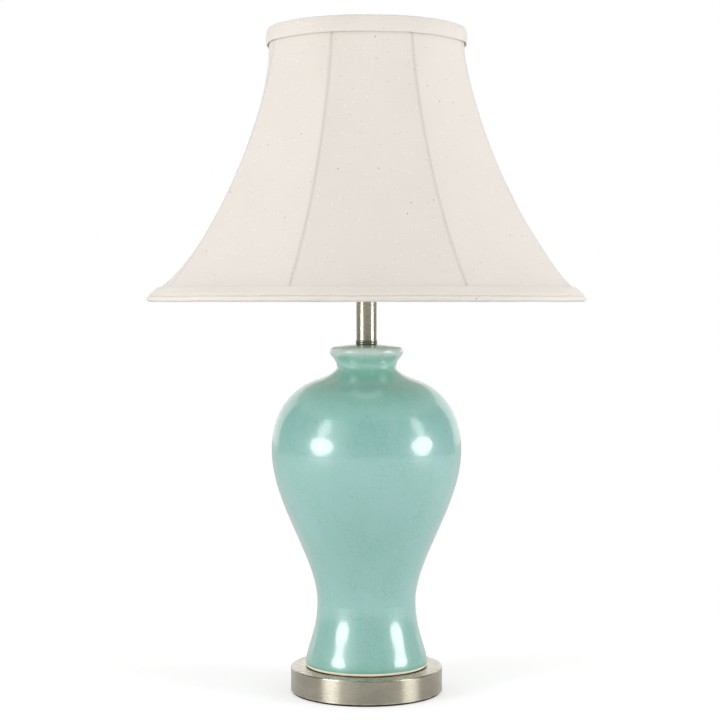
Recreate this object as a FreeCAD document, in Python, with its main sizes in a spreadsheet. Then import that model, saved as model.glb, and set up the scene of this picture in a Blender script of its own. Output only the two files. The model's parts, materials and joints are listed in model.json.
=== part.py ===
"""Table lamp with a glazed jar body, a drum base, a harp and a bell shade of eight gores.

Millimetres. +Z is up, the origin is the centre of the underside of the base, and the
front of the lamp faces -Y. Every size is a cell of the sheet "Sizes", levels and other
worked-out values are properties of "Derived", and each piece is one labelled object
whose outline, section and placement are bound to those names.
"""
import FreeCAD, Part

import os
import re

import Sketcher

Vector = FreeCAD.Vector

SIZES = {
    # Base: a spun metal drum with a felt pad, a weight and the fastening of the pipe.
    "felt_radius": 69.0,
    "felt_height": 1.8,
    "base_radius": 70.0,
    "base_height": 21.8,
    "base_wall": 1.2,
    "base_top": 1.5,
    "base_edge": 1.4,
    "base_flange": 7.0,
    "weight_radius": 52.0,
    "weight_height": 9.0,
    "washer_radius": 15.0,
    "washer_height": 1.5,
    "lock_washer_radius": 8.6,
    "lock_washer_height": 1.3,
    "lock_washer_turn": 352.0,
    "nut_across_flats": 15.0,
    "nut_height": 4.2,
    # Cord inlet at the back of the base.
    "inlet_height": 11.0,
    "bushing_bore": 3.5,
    "bushing_neck": 5.0,
    "bushing_flange": 7.0,
    "bushing_flange_height": 1.8,
    "bushing_barb": 5.7,
    "bushing_barb_height": 2.0,
    # Pipe that clamps the whole column.
    "pipe_radius": 4.85,
    "pipe_bore": 3.2,
    "pipe_hole": 5.2,
    "pipe_below_nut": 1.5,
    "pipe_in_cap": 8.0,
    # Jar: heights are above the foot, and each reach is the length of a curve's handle.
    "gasket_outer": 55.3,
    "gasket_inner": 49.0,
    "gasket_height": 0.8,
    "foot_radius": 56.3,
    "foot_ring": 7.0,
    "foot_bevel": 0.7,
    "foot_recess": 4.0,
    "bisque_height": 2.1,
    "jar_floor": 6.0,
    "jar_wall": 5.0,
    "waist_radius": 45.4,
    "waist_height": 58.7,
    "belly_radius": 87.5,
    "belly_height": 199.6,
    "shoulder_radius": 45.5,
    "shoulder_height": 264.2,
    "shoulder_slope": 17.4,
    "throat_radius": 27.4,
    "throat_height": 275.6,
    "lip_radius": 33.9,
    "lip_height": 290.0,
    "lip_round": 4.4,
    "jar_height": 296.6,
    "dome_round": 170.0,
    "foot_reach": 12.0,
    "waist_low_reach": 27.0,
    "waist_high_reach": 40.8,
    "belly_low_reach": 50.8,
    "belly_high_reach": 42.9,
    "shoulder_out_reach": 16.5,
    "shoulder_in_reach": 9.0,
    "throat_low_reach": 4.0,
    "throat_high_reach": 8.6,
    "lip_low_reach": 5.4,
    # Neck above the jar.
    "collar_radius": 9.6,
    "collar_bead": 1.1,
    "collar_bead_height": 1.85,
    "neck_radius": 9.5,
    "neck_wall": 1.2,
    "neck_length": 46.3,
    "neck_cap_radius": 10.6,
    "neck_cap_height": 3.0,
    "neck_cap_edge": 1.0,
    # Saddle that carries the harp.
    "strip_thickness": 1.6,
    "strip_width": 9.0,
    "strip_bend": 3.0,
    "saddle_disc": 11.0,
    "post_spacing": 62.0,
    "tab_height": 14.0,
    "post_height": 8.0,
    # Harp, its sliding ferrules and the stud on its crown.
    "wire_radius": 1.7,
    "harp_height": 193.4,
    "harp_half_width": 57.0,
    "leg_straight": 13.0,
    "leg_bend": 35.0,
    "side_share": 0.44,
    "crown_bend": 20.0,
    "crown_flat": 5.0,
    "crown_boss": 6.5,
    "crown_boss_height": 3.6,
    "ferrule_radius": 3.4,
    "ferrule_length": 12.0,
    "ferrule_bevel": 0.8,
    "stud_radius": 3.1,
    "stud_length": 13.0,
    "stud_shank": 1.9,
    "stud_shoulder": 5.5,
    "stud_shoulder_height": 1.4,
    "stud_head": 3.2,
    "stud_head_height": 1.0,
    # Finial.
    "finial_foot": 6.5,
    "finial_foot_height": 1.6,
    "finial_stem": 4.8,
    "finial_stem_height": 3.2,
    "finial_ball": 7.6,
    "finial_ball_height": 12.2,
    "finial_bore_depth": 12.6,
    # Socket.
    "cap_hub": 8.0,
    "cap_hub_height": 2.0,
    "cap_radius": 17.4,
    "cap_rim": 5.0,
    "cap_height": 18.0,
    "cap_wall": 1.0,
    "cap_bowl": 13.0,
    "shell_start": 14.0,
    "shell_height": 44.0,
    "shell_wall": 0.6,
    "shell_bead": 1.9,
    "shell_bead_width": 3.0,
    "shell_bead_drop": 3.0,
    "liner_start": 16.0,
    "liner_height": 40.0,
    "liner_wall": 0.6,
    "core_start": 15.0,
    "core_height": 15.0,
    "core_radius": 12.4,
    "core_flange": 3.0,
    "screw_shell_height": 24.0,
    "screw_shell_bore": 13.4,
    "screw_shell_wall": 0.6,
    "contact_radius": 4.0,
    "contact_height": 1.5,
    "terminal_radius": 2.6,
    "terminal_height": 1.6,
    "terminal_level": 6.0,
    # Turn switch at the front of the socket.
    "stem_level": 22.0,
    "stem_radius": 1.8,
    "stem_start": 5.0,
    "stem_length": 21.0,
    "stem_hole": 2.4,
    "knob_radius": 5.5,
    "knob_taper": 0.6,
    "knob_length": 13.0,
    "knob_bevel": 1.0,
    "knob_standoff": 1.2,
    # Lamp bulb.
    "tip_radius": 4.6,
    "tip_point": 3.2,
    "tip_height": 1.4,
    "glass_ring_height": 3.2,
    "bulb_cap_radius": 12.9,
    "bulb_cap_height": 21.0,
    "bulb_cap_wall": 0.5,
    "globe_radius": 30.0,
    "globe_neck": 13.4,
    "globe_wall": 0.9,
    "globe_length": 84.4,
    "globe_neck_reach": 16.0,
    "globe_side_reach": 22.0,
    # Shade frame: heights are above the lower edge of the shade.
    "shade_height": 248.4,
    "rim_drop": 16.0,
    "rib_count": 8,
    "rib_phase": 25.5,
    "rib_arc": 494.0,
    "rib_wire": 1.2,
    "ring_wire": 1.6,
    "hub_radius": 10.5,
    "hub_height": 1.8,
    "arm_count": 3,
    "arm_phase": 30.0,
    "arm_wire": 1.5,
    "arm_bend": 4.0,
    "arm_slope": 45.0,
    "arm_ledge": 9.0,
    # Shade cloth.
    "cover_top_radius": 89.5,
    "cover_bottom_radius": 198.7,
    "cover_inset": 3.5,
    "cover_thickness": 1.0,
    "rim_band": 3.6,
    "fullness_reach": 26.0,
    "fullness_least": 0.02,
    "lining_thickness": 0.6,
    "lining_arc": 330.0,
    "lining_low_inset": 5.0,
    "lining_top_inset": 8.5,
    "trim_thickness": 1.3,
    "top_trim_height": 14.0,
    "bottom_trim_height": 12.5,
    "trim_round": 2.4,
    "trim_return": 6.8,
    # Named clearances.
    "seam_gap": 0.3,
    "cloth_gap": 0.3,
    "trim_gap": 0.6,
    "braze_gap": 0.1,
    "slide_gap": 0.1,
    "thread_gap": 0.1,
    "sleeve_gap": 0.1,
    "stud_gap": 0.1,
}

# Heights of the gore's sections between its two round rims, as shares, closest near the rims.
SECTION_SHARES = (0.0, 0.04, 0.12, 0.28, 0.55, 0.8, 0.94, 1.0)

X_AXIS = Vector(1, 0, 0)
Y_AXIS = Vector(0, 1, 0)
Z_AXIS = Vector(0, 0, 1)
LEAST_CUT = 0.1

doc = FreeCAD.newDocument("JarLamp")
sheet = doc.addObject("Spreadsheet::Sheet", "Sizes")
derived = doc.addObject("App::VarSet", "Derived")
pieces = []


def fill_sheet():
    """Write every driving size into the sheet under its own alias."""
    for row, (name, size) in enumerate(SIZES.items(), start=1):
        sheet.set(f"A{row}", name)
        sheet.set(f"B{row}", str(size))
        sheet.setAlias(f"B{row}", name)
    doc.recompute()


def bound(text):
    """The expression with each name given its owner, the sheet or the derived values."""
    def owner(match):
        word = match.group()
        if word in SIZES:
            return "Sizes." + word
        return "Derived." + word
    return re.sub(r"\b[a-z_][a-z_0-9]*\b(?!\s*\()", owner, text)


def value(text):
    """What an expression is worth now."""
    return float(derived.evalExpression(bound(text)))


def derive(name, text):
    """Keep a worked-out value under a name of its own."""
    derived.addProperty("App::PropertyFloat", name, "Derived")
    setattr(derived, name, value(text))
    derived.setExpression(name, bound(text))


class Outline:
    """A run of lines, arcs and curves through corners that are bound to the sizes."""

    def __init__(self, across, up):
        self.corners = [(across, up)]
        self.edges = []

    def line(self, across, up):
        """A straight edge to the next corner."""
        self.edges.append(("line", None, None))
        self.corners.append((across, up))
        return self

    def arc(self, across, up, radius, side):
        """An arc to the next corner, with its centre on the given side of the way there."""
        self.edges.append(("arc", radius, side))
        self.corners.append((across, up))
        return self

    def curve(self, first, second, across, up):
        """A cubic curve to the next corner, shaped by two handles."""
        self.edges.append(("curve", (first, second), None))
        self.corners.append((across, up))
        return self

    def close(self):
        """Straight back to the first corner."""
        return self.line(*self.corners[0])

    def draw(self, sketch):
        """Add the outline to a sketch and pin each corner, radius and handle."""
        points = [Vector(value(across), value(up), 0) for across, up in self.corners]
        closed = self.corners[0] == self.corners[-1]
        ends = []
        for number, edge in enumerate(self.edges):
            ends.append(add_edge(sketch, points[number], points[number + 1], edge))
        for number, ((geometry, start, _), corner) in enumerate(zip(ends, self.corners)):
            pin(sketch, geometry, start, *corner)
            if number:
                before, _, end = ends[number - 1]
                join(sketch, before, end, geometry, start)
        last, _, end = ends[-1]
        if closed:
            first, start, _ = ends[0]
            join(sketch, last, end, first, start)
        else:
            pin(sketch, last, end, *self.corners[-1])


def middle_of_arc(start, end, radius, side):
    """The middle of the short arc from start to end."""
    way = end - start
    half = way.Length / 2
    normal = Vector(-way.y, way.x, 0).normalize()
    rise = radius - (radius * radius - half * half) ** 0.5
    outward = -rise if side == "left" else rise
    return (start + end) * 0.5 + normal * outward


def add_edge(sketch, start, end, edge):
    """Add one edge and give its number with the sketcher's names of its start and end."""
    kind, shape, side = edge
    if kind == "line":
        return sketch.addGeometry(Part.LineSegment(start, end), False), 1, 2
    if kind == "arc":
        middle = middle_of_arc(start, end, value(shape), side)
        number = sketch.addGeometry(Part.Arc(start, middle, end), False)
        bind(sketch, Sketcher.Constraint("Radius", number, value(shape)), shape)
        near, far = (sketch.getPoint(number, end).distanceToPoint(start) for end in (1, 2))
        if near > far:
            return number, 2, 1
        return number, 1, 2
    handles = [Vector(value(across), value(up), 0) for across, up in shape]
    curve = Part.BSplineCurve()
    curve.buildFromPolesMultsKnots([start, *handles, end], [4, 4], [0.0, 1.0], False, 3)
    number = sketch.addGeometry(curve, False)
    sketch.exposeInternalGeometry(number)
    for pole, (across, up) in enumerate(shape, start=2):
        pin(sketch, number + pole, 3, across, up)
    return number, 1, 2


def join(sketch, first, first_point, second, second_point):
    """Hold the ends of two edges together."""
    meeting = Sketcher.Constraint("Coincident", first, first_point, second, second_point)
    sketch.addConstraint(meeting)


def bind(sketch, constraint, text):
    """Add a constraint whose value follows an expression."""
    number = sketch.addConstraint(constraint)
    sketch.setExpression(f"Constraints[{number}]", bound(text))


def pin(sketch, geometry, point, across, up):
    """Hold a point of the sketch at two bound distances from the sketch's origin."""
    # The sketcher's own axes are -1, the level one, and -2, the upright one.
    if across == "0":
        sketch.addConstraint(Sketcher.Constraint("PointOnObject", geometry, point, -2))
    else:
        away = Sketcher.Constraint("DistanceX", -1, 1, geometry, point, value(across))
        bind(sketch, away, across)
    if up == "0":
        sketch.addConstraint(Sketcher.Constraint("PointOnObject", geometry, point, -1))
    else:
        away = Sketcher.Constraint("DistanceY", -1, 1, geometry, point, value(up))
        bind(sketch, away, up)


def add_circle(sketch, across, up, radius):
    """A circle about a bound centre."""
    centre = Vector(value(across), value(up), 0)
    number = sketch.addGeometry(Part.Circle(centre, Z_AXIS, value(radius)), False)
    pin(sketch, number, 3, across, up)
    bind(sketch, Sketcher.Constraint("Radius", number, value(radius)), radius)


def new_body(label, level="0", across="0", back="0", axis=Z_AXIS, turn="0"):
    """An empty body, placed at bound distances and turned about an axis."""
    body = doc.addObject("PartDesign::Body", label)
    body.Label = label
    place(body, level, across, back, axis, turn)
    pieces.append(body)
    return body


def place(thing, level, across="0", back="0", axis=Z_AXIS, turn="0"):
    """Bind the placement of a piece."""
    thing.Placement = FreeCAD.Placement(Vector(), FreeCAD.Rotation(axis, value(turn)))
    thing.setExpression(".Placement.Base.x", bound(across))
    thing.setExpression(".Placement.Base.y", bound(back))
    thing.setExpression(".Placement.Base.z", bound(level))
    if turn != "0":
        thing.setExpression(".Placement.Rotation.Angle", bound(turn))


def new_sketch(body, plane, name, lift="0", tilt="0"):
    """A sketch on one of the body's own planes, lifted off it or tilted about its upright axis."""
    sketch = body.newObject("Sketcher::SketchObject", f"{body.Label}_{name}")
    support = next(feature for feature in body.Origin.OriginFeatures if feature.Role == plane)
    sketch.AttachmentSupport = [(support, "")]
    sketch.MapMode = "FlatFace"
    if lift != "0":
        sketch.setExpression(".AttachmentOffset.Base.z", bound(lift))
    if tilt != "0":
        sketch.AttachmentOffset = FreeCAD.Placement(Vector(), FreeCAD.Rotation(Y_AXIS, value(tilt)))
        sketch.setExpression(".AttachmentOffset.Rotation.Angle", bound(tilt))
    return sketch


def add_pad(body, sketch, length, both_ways=False):
    """Extrude a sketch."""
    pad = body.newObject("PartDesign::Pad", f"{sketch.Name}_pad")
    pad.Profile = sketch
    pad.setExpression("Length", bound(length))
    if both_ways:
        pad.SideType = "Symmetric"


def cut_hole(body, plane, across, up, radius, reversed_way=False, lift="0"):
    """Cut a round hole right through one side of a body, and see that it cut."""
    doc.recompute()
    before = body.Shape.Volume
    sketch = new_sketch(body, plane, "hole", lift)
    add_circle(sketch, across, up, radius)
    pocket = body.newObject("PartDesign::Pocket", f"{sketch.Name}_cut")
    pocket.Profile = sketch
    pocket.Type = "ThroughAll"
    pocket.Reversed = reversed_way
    doc.recompute()
    if body.Shape.Volume > before - LEAST_CUT:
        raise ValueError(f"the hole in {body.Label} cut nothing")


def turned(label, level, outline, turn_angle=None, **placing):
    """A piece turned about its own upright axis."""
    body = new_body(label, level, **placing)
    sketch = new_sketch(body, "XZ_Plane", "section")
    outline.draw(sketch)
    turn = body.newObject("PartDesign::Revolution", f"{label}_turning")
    turn.Profile = sketch
    turn.ReferenceAxis = (sketch, ["V_Axis"])
    turn.Angle = 360
    if turn_angle:
        turn.setExpression("Angle", bound(turn_angle))
    return body


def ring(label, level, inner, outer, height, **placing):
    """A plain ring, disc with a hole or tube."""
    outline = Outline(inner, "0").line(outer, "0").line(outer, height).line(inner, height)
    return turned(label, level, outline.close(), **placing)


def bent_wire(label, level, path, radius, plane, start="0", **placing):
    """A round wire along a path that starts square to the given plane, at a distance along it."""
    body = new_body(label, level, **placing)
    spine = new_sketch(body, "XZ_Plane", "path")
    path.draw(spine)
    section = new_sketch(body, plane, "section")
    add_circle(section, start, "0", radius)
    pipe = body.newObject("PartDesign::AdditivePipe", f"{label}_pipe")
    pipe.Profile = section
    pipe.Spine = spine
    return body


def derive_levels():
    """Stack the lamp from the table up, then hang the shade from the crown of the harp."""
    derive("base_top_level", "felt_height + base_height")
    derive("weight_level", "base_top_level - base_top - weight_height")
    derive("washer_level", "weight_level - washer_height")
    derive("lock_washer_level", "washer_level - lock_washer_height")
    derive("nut_level", "lock_washer_level - nut_height")
    derive("jar_level", "base_top_level + gasket_height")
    derive("collar_level", "jar_level + jar_height")
    derive("neck_level", "collar_level + 2 * collar_bead_height")
    derive("neck_cap_level", "neck_level + neck_length")
    derive("saddle_level", "neck_cap_level + neck_cap_height")
    derive("socket_level", "saddle_level + strip_thickness")
    derive("seat_level", "saddle_level + tab_height")
    derive("harp_level", "seat_level + post_height")
    derive("boss_level", "harp_level + harp_height - crown_boss_height / 2")
    derive("hub_level", "boss_level + crown_boss_height + stud_shoulder_height")
    derive("shade_level", "hub_level + rim_drop - shade_height")
    derive("core_top_level", "socket_level + core_start + core_height")
    derive("bulb_level", "core_top_level + contact_height + thread_gap")


def derive_shade_curve():
    """Find the centre of the arc that every rib and seam follows."""
    derive("cover_high", "shade_height - cover_inset")
    derive("cover_rise", "cover_high - cover_inset")
    derive("cover_flare", "cover_bottom_radius - cover_top_radius")
    derive("cover_chord", "sqrt(cover_rise * cover_rise + cover_flare * cover_flare)")
    derive("arc_offset", "sqrt(rib_arc * rib_arc - cover_chord * cover_chord / 4)")
    derive("arc_radius_out",
           "(cover_top_radius + cover_bottom_radius) / 2 + arc_offset * cover_rise / cover_chord")
    derive("arc_height", "shade_height / 2 + arc_offset * cover_flare / cover_chord")
    derive("top_slope", "asin((arc_height - cover_high) / rib_arc)")
    derive("bottom_slope", "asin((arc_height - cover_inset) / rib_arc)")
    derive("top_ring_height", "cover_high - ring_wire")
    derive("bottom_ring_height", "cover_inset + ring_wire")
    ring_stack = "cover_thickness - (cloth_gap + ring_wire)"
    derive("top_ring_radius", f"{cover_radius('top_ring_height')} - {ring_stack} / cos(top_slope)")
    derive("bottom_ring_radius",
           f"{cover_radius('bottom_ring_height')} - {ring_stack} / cos(bottom_slope)")
    derive("rib_axis_arc", "rib_arc + cover_thickness + cloth_gap + rib_wire")
    derive("rib_high", "top_ring_height - ring_wire - rib_wire * sin(top_slope) - braze_gap")
    derive("rib_low", "bottom_ring_height + ring_wire + rib_wire * sin(bottom_slope) + braze_gap")
    derive("rib_start", "asin((arc_height - rib_high) / rib_axis_arc)")
    derive("rib_end", "asin((arc_height - rib_low) / rib_axis_arc)")
    derive("rib_sweep", "rib_end - rib_start")


def cover_radius(height):
    """The outer radius of the cover at a rib, at a height above the shade's lower edge."""
    drop = f"(arc_height - ({height}))"
    return f"(arc_radius_out - sqrt(rib_arc * rib_arc - {drop} * {drop}))"


def build_base():
    """Felt, drum, weight and the washers and nut under it."""
    felt = Outline("0", "0").line("felt_radius", "0").line("felt_radius", "felt_height")
    turned("base_felt", "0", felt.line("0", "felt_height").close())
    inside = "base_radius - base_wall"
    lip = "base_radius - base_flange"
    drum = Outline("base_radius", "0").line("base_radius", "base_height - base_edge")
    drum.arc("base_radius - base_edge", "base_height", "base_edge", "left")
    drum.line("pipe_hole", "base_height").line("pipe_hole", "base_height - base_top")
    drum.line(inside, "base_height - base_top").line(inside, "base_wall")
    drum.line(lip, "base_wall").line(lip, "0").close()
    pan = turned("base_pan", "felt_height", drum)
    cut_hole(pan, "XZ_Plane", "0", "inlet_height - felt_height", "bushing_neck + sleeve_gap")
    ring("base_weight", "weight_level", "pipe_hole", "weight_radius", "weight_height")
    ring("base_washer", "washer_level", "pipe_hole", "washer_radius", "washer_height")
    split = Outline("pipe_hole", "0").line("lock_washer_radius", "0")
    split.line("lock_washer_radius", "lock_washer_height").line("pipe_hole", "lock_washer_height").close()
    turned("base_lock_washer", "lock_washer_level", split, "lock_washer_turn")
    build_nut()
    build_bushing()


def build_nut():
    """Hexagon nut on the lower end of the pipe."""
    nut = new_body("base_nut", "nut_level")
    sketch = new_sketch(nut, "XY_Plane", "hexagon")
    corner = "nut_across_flats / 2 / cos(30)"
    corners = [(f"{corner} * cos({60 * k + 30})", f"{corner} * sin({60 * k + 30})") for k in range(6)]
    hexagon = Outline(*corners[0])
    for across, up in corners[1:]:
        hexagon.line(across, up)
    hexagon.close().draw(sketch)
    add_circle(sketch, "0", "0", "pipe_radius + thread_gap")
    add_pad(nut, sketch, "nut_height")


def build_bushing():
    """Cord bushing snapped into the back of the drum, its bore pointing backwards."""
    neck_end = "bushing_barb_height + base_wall + 2 * cloth_gap"
    flange_end = f"{neck_end} + bushing_flange_height"
    bushing = Outline("bushing_bore", "0").line("bushing_barb", "0")
    bushing.line("bushing_barb", "bushing_barb_height")
    bushing.line("bushing_neck", "bushing_barb_height").line("bushing_neck", neck_end)
    bushing.line("bushing_flange", neck_end).line("bushing_flange", flange_end)
    bushing.line("bushing_bore", flange_end).close()
    start = "base_radius - base_wall - bushing_barb_height - 2 * cloth_gap"
    turned("cord_bushing", "inlet_height", bushing, back=start, axis=X_AXIS, turn="0 - 90")


def build_column():
    """Pipe, gasket, jar, collar, neck tube and its cap."""
    derive("pipe_level", "nut_level - pipe_below_nut")
    ring("lamp_pipe", "pipe_level", "pipe_bore", "pipe_radius", "socket_level + pipe_in_cap - pipe_level")
    ring("jar_gasket", "base_top_level", "gasket_inner", "gasket_outer", "gasket_height")
    build_jar()
    bead = "collar_bead_height"
    collar = Outline("pipe_hole", "0").line("collar_radius", "0")
    collar.arc("collar_radius", bead, "collar_bead", "left")
    collar.arc("collar_radius", f"2 * {bead}", "collar_bead", "left")
    collar.line("pipe_hole", f"2 * {bead}").close()
    turned("neck_collar", "collar_level", collar)
    ring("neck_tube", "neck_level", "neck_radius - neck_wall", "neck_radius", "neck_length")
    edge = "neck_cap_radius - neck_cap_edge"
    cap = Outline("pipe_hole", "0").line(edge, "0")
    cap.arc("neck_cap_radius", "neck_cap_edge", "neck_cap_edge", "left")
    cap.line("neck_cap_radius", "neck_cap_height - neck_cap_edge")
    cap.arc(edge, "neck_cap_height", "neck_cap_edge", "left")
    cap.line("pipe_hole", "neck_cap_height").close()
    turned("neck_cap", "neck_cap_level", cap)


def build_jar():
    """Hollow baluster jar: flared foot, waist, belly, shoulder, throat, rolled lip and domed top."""
    out_across = "shoulder_radius + shoulder_out_reach * cos(shoulder_slope)"
    out_up = "shoulder_height - shoulder_out_reach * sin(shoulder_slope)"
    in_across = "shoulder_radius - shoulder_in_reach * cos(shoulder_slope)"
    in_up = "shoulder_height + shoulder_in_reach * sin(shoulder_slope)"
    under = "jar_wall / cos(shoulder_slope)"
    top_lip = "lip_radius - lip_round"
    jar = Outline("pipe_hole", "foot_recess").line("foot_radius - foot_ring", "foot_recess")
    jar.line("foot_radius - foot_ring", "0").line("foot_radius - foot_bevel", "0")
    jar.line("foot_radius", "foot_bevel").line("foot_radius", "bisque_height")
    jar.curve(("foot_radius", "bisque_height + foot_reach"),
              ("waist_radius", "waist_height - waist_low_reach"), "waist_radius", "waist_height")
    jar.curve(("waist_radius", "waist_height + waist_high_reach"),
              ("belly_radius", "belly_height - belly_low_reach"), "belly_radius", "belly_height")
    jar.curve(("belly_radius", "belly_height + belly_high_reach"), (out_across, out_up),
              "shoulder_radius", "shoulder_height")
    jar.curve((in_across, in_up), ("throat_radius", "throat_height - throat_low_reach"),
              "throat_radius", "throat_height")
    jar.curve(("throat_radius", "throat_height + throat_high_reach"),
              ("lip_radius", "lip_height - lip_low_reach"), "lip_radius", "lip_height")
    jar.arc(top_lip, "lip_height + lip_round", "lip_round", "left")
    jar.arc("pipe_hole", "jar_height", "dome_round", "left")
    inner = "throat_radius - jar_wall"
    jar.line("pipe_hole", "jar_height - jar_wall").line(inner, "jar_height - jar_wall")
    jar.line(inner, "throat_height")
    jar.curve((inner, "throat_height - jar_wall"), (in_across, f"{in_up} - {under}"),
              "shoulder_radius", f"shoulder_height - {under}")
    jar.curve((out_across, f"{out_up} - {under}"),
              ("belly_radius - jar_wall", "belly_height + belly_high_reach - jar_wall"),
              "belly_radius - jar_wall", "belly_height")
    jar.curve(("belly_radius - jar_wall", "belly_height - belly_low_reach"),
              ("waist_radius - jar_wall", "waist_height + waist_high_reach"),
              "waist_radius - jar_wall", "waist_height")
    jar.curve(("waist_radius - jar_wall", "waist_height - waist_low_reach"),
              ("foot_radius - foot_ring", "foot_recess + jar_floor + foot_reach"),
              "foot_radius - foot_ring", "foot_recess + jar_floor")
    jar.line("pipe_hole", "foot_recess + jar_floor").close()
    turned("jar_body", "jar_level", jar)


def build_saddle():
    """Strip bent up at both ends, each end with a round post for the harp."""
    outer = "post_spacing / 2 + strip_thickness / 2"
    inner = "post_spacing / 2 - strip_thickness / 2"
    bend_in = "strip_bend - strip_thickness"
    saddle = new_body("harp_saddle", "saddle_level")
    strip = new_sketch(saddle, "XZ_Plane", "strip")
    shape = Outline(f"0 - ({outer}) + strip_bend", "0").line(f"{outer} - strip_bend", "0")
    shape.arc(outer, "strip_bend", "strip_bend", "left").line(outer, "tab_height")
    shape.line(inner, "tab_height").line(inner, "strip_bend")
    shape.arc(f"{outer} - strip_bend", "strip_thickness", bend_in, "right")
    shape.line(f"0 - ({outer}) + strip_bend", "strip_thickness")
    shape.arc(f"0 - ({inner})", "strip_bend", bend_in, "right").line(f"0 - ({inner})", "tab_height")
    shape.line(f"0 - ({outer})", "tab_height").line(f"0 - ({outer})", "strip_bend")
    shape.arc(f"0 - ({outer}) + strip_bend", "0", "strip_bend", "left")
    shape.draw(strip)
    add_pad(saddle, strip, "strip_width", both_ways=True)
    disc = new_sketch(saddle, "XY_Plane", "disc")
    add_circle(disc, "0", "0", "saddle_disc")
    add_pad(saddle, disc, "strip_thickness")
    for name, side in (("right", ""), ("left", "0 - ")):
        post = new_sketch(saddle, "XY_Plane", f"{name}_post", lift="tab_height")
        add_circle(post, f"{side}post_spacing / 2", "0", "wire_radius")
        add_pad(saddle, post, "post_height")
    cut_hole(saddle, "XY_Plane", "0", "0", "pipe_hole", reversed_way=True)


def derive_harp():
    """Join the harp's four arcs: splay and side up to its widest, then shoulder and crown."""
    derive("harp_foot", "post_spacing / 2")
    derive("bent_height", "harp_height - leg_straight")
    derive("low_height", "side_share * bent_height")
    derive("leg_splay", "2 * atan((harp_half_width - harp_foot) / low_height)")
    derive("side_bend", "low_height / sin(leg_splay) - leg_bend")
    derive("splay_rise", "leg_bend * sin(leg_splay)")
    derive("high_height", "bent_height - low_height - crown_bend")
    derive("crown_turn", "2 * atan((harp_half_width - crown_flat - crown_bend) / high_height)")
    derive("high_bend", "crown_bend + high_height / sin(crown_turn)")
    derive("high_rise", "high_bend * sin(crown_turn)")


def harp_leg():
    """The corners of one leg, from its foot to the crown, with the arc that ends at each."""
    splay_across = "harp_foot + leg_bend * (1 - cos(leg_splay))"
    side_up = "leg_straight + low_height"
    high_across = "harp_half_width - high_bend * (1 - cos(crown_turn))"
    return [
        ("harp_foot", "leg_straight", None, None),
        (splay_across, "leg_straight + splay_rise", "leg_bend", "right"),
        ("harp_half_width", side_up, "side_bend", "left"),
        (high_across, f"{side_up} + high_rise", "high_bend", "left"),
        ("crown_flat", "harp_height", "crown_bend", "left"),
    ]


def build_harp():
    """Wire harp with its crown boss, the riveted stud and the two ferrules."""
    derive_harp()
    leg = harp_leg()
    path = Outline("harp_foot", "0").line(*leg[0][:2])
    for across, up, radius, side in leg[1:]:
        path.arc(across, up, radius, side)
    mirrored = [(f"0 - ({across})", up) for across, up, _, _ in reversed(leg)]
    bends = [(radius, side) for _, _, radius, side in reversed(leg[1:])]
    path.line(*mirrored[0])
    for (across, up), (radius, side) in zip(mirrored[1:], bends):
        path.arc(across, up, radius, side)
    path.line("0 - harp_foot", "0")
    harp = bent_wire("harp", "harp_level", path, "wire_radius", "XY_Plane", start="harp_foot")
    boss = new_sketch(harp, "XY_Plane", "boss", lift="harp_height - crown_boss_height / 2")
    add_circle(boss, "0", "0", "crown_boss")
    add_pad(harp, boss, "crown_boss_height")
    cut_hole(harp, "XY_Plane", "0", "0", "stud_shank + thread_gap", reversed_way=True)
    build_stud()
    for name, side in (("right", ""), ("left", "0 - ")):
        build_ferrule(name, f"{side}harp_foot")


def build_stud():
    """Riveted shank, shoulder that carries the shade and the threaded end for the finial."""
    shoulder_low = "stud_head_height + crown_boss_height"
    shoulder_high = f"{shoulder_low} + stud_shoulder_height"
    end = f"{shoulder_high} + stud_length"
    stud = Outline("0", "0").line("stud_head", "0").line("stud_head", "stud_head_height")
    stud.line("stud_shank", "stud_head_height").line("stud_shank", shoulder_low)
    stud.line("stud_shoulder", shoulder_low).line("stud_shoulder", shoulder_high)
    stud.line("stud_radius", shoulder_high).line("stud_radius", end).line("0", end).close()
    turned("harp_stud", "boss_level - stud_head_height", stud)


def build_ferrule(name, across):
    """Sleeve that drops over the joint of a harp leg and its post."""
    bore = "wire_radius + slide_gap"
    top = "ferrule_length"
    sleeve = Outline(bore, "0").line("ferrule_radius", "0").line("ferrule_radius", f"{top} - ferrule_bevel")
    sleeve.line("ferrule_radius - ferrule_bevel", top).line(bore, top).close()
    turned(f"ferrule_{name}", "seat_level", sleeve, across=across)


def build_finial():
    """Turned ball finial with a blind bore for the stud."""
    joint = "finial_ball_height - sqrt(finial_ball * finial_ball - finial_stem * finial_stem)"
    bore = "stud_radius + thread_gap"
    finial = Outline(bore, "0").line("finial_foot", "0").line("finial_foot", "finial_foot_height")
    finial.line("finial_stem", "finial_stem_height").line("finial_stem", joint)
    finial.arc("finial_ball", "finial_ball_height", "finial_ball", "left")
    finial.arc("0", "finial_ball_height + finial_ball", "finial_ball", "left")
    finial.line("0", "finial_bore_depth").line(bore, "finial_bore_depth").close()
    turned("finial", "hub_level + hub_height", finial)


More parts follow.
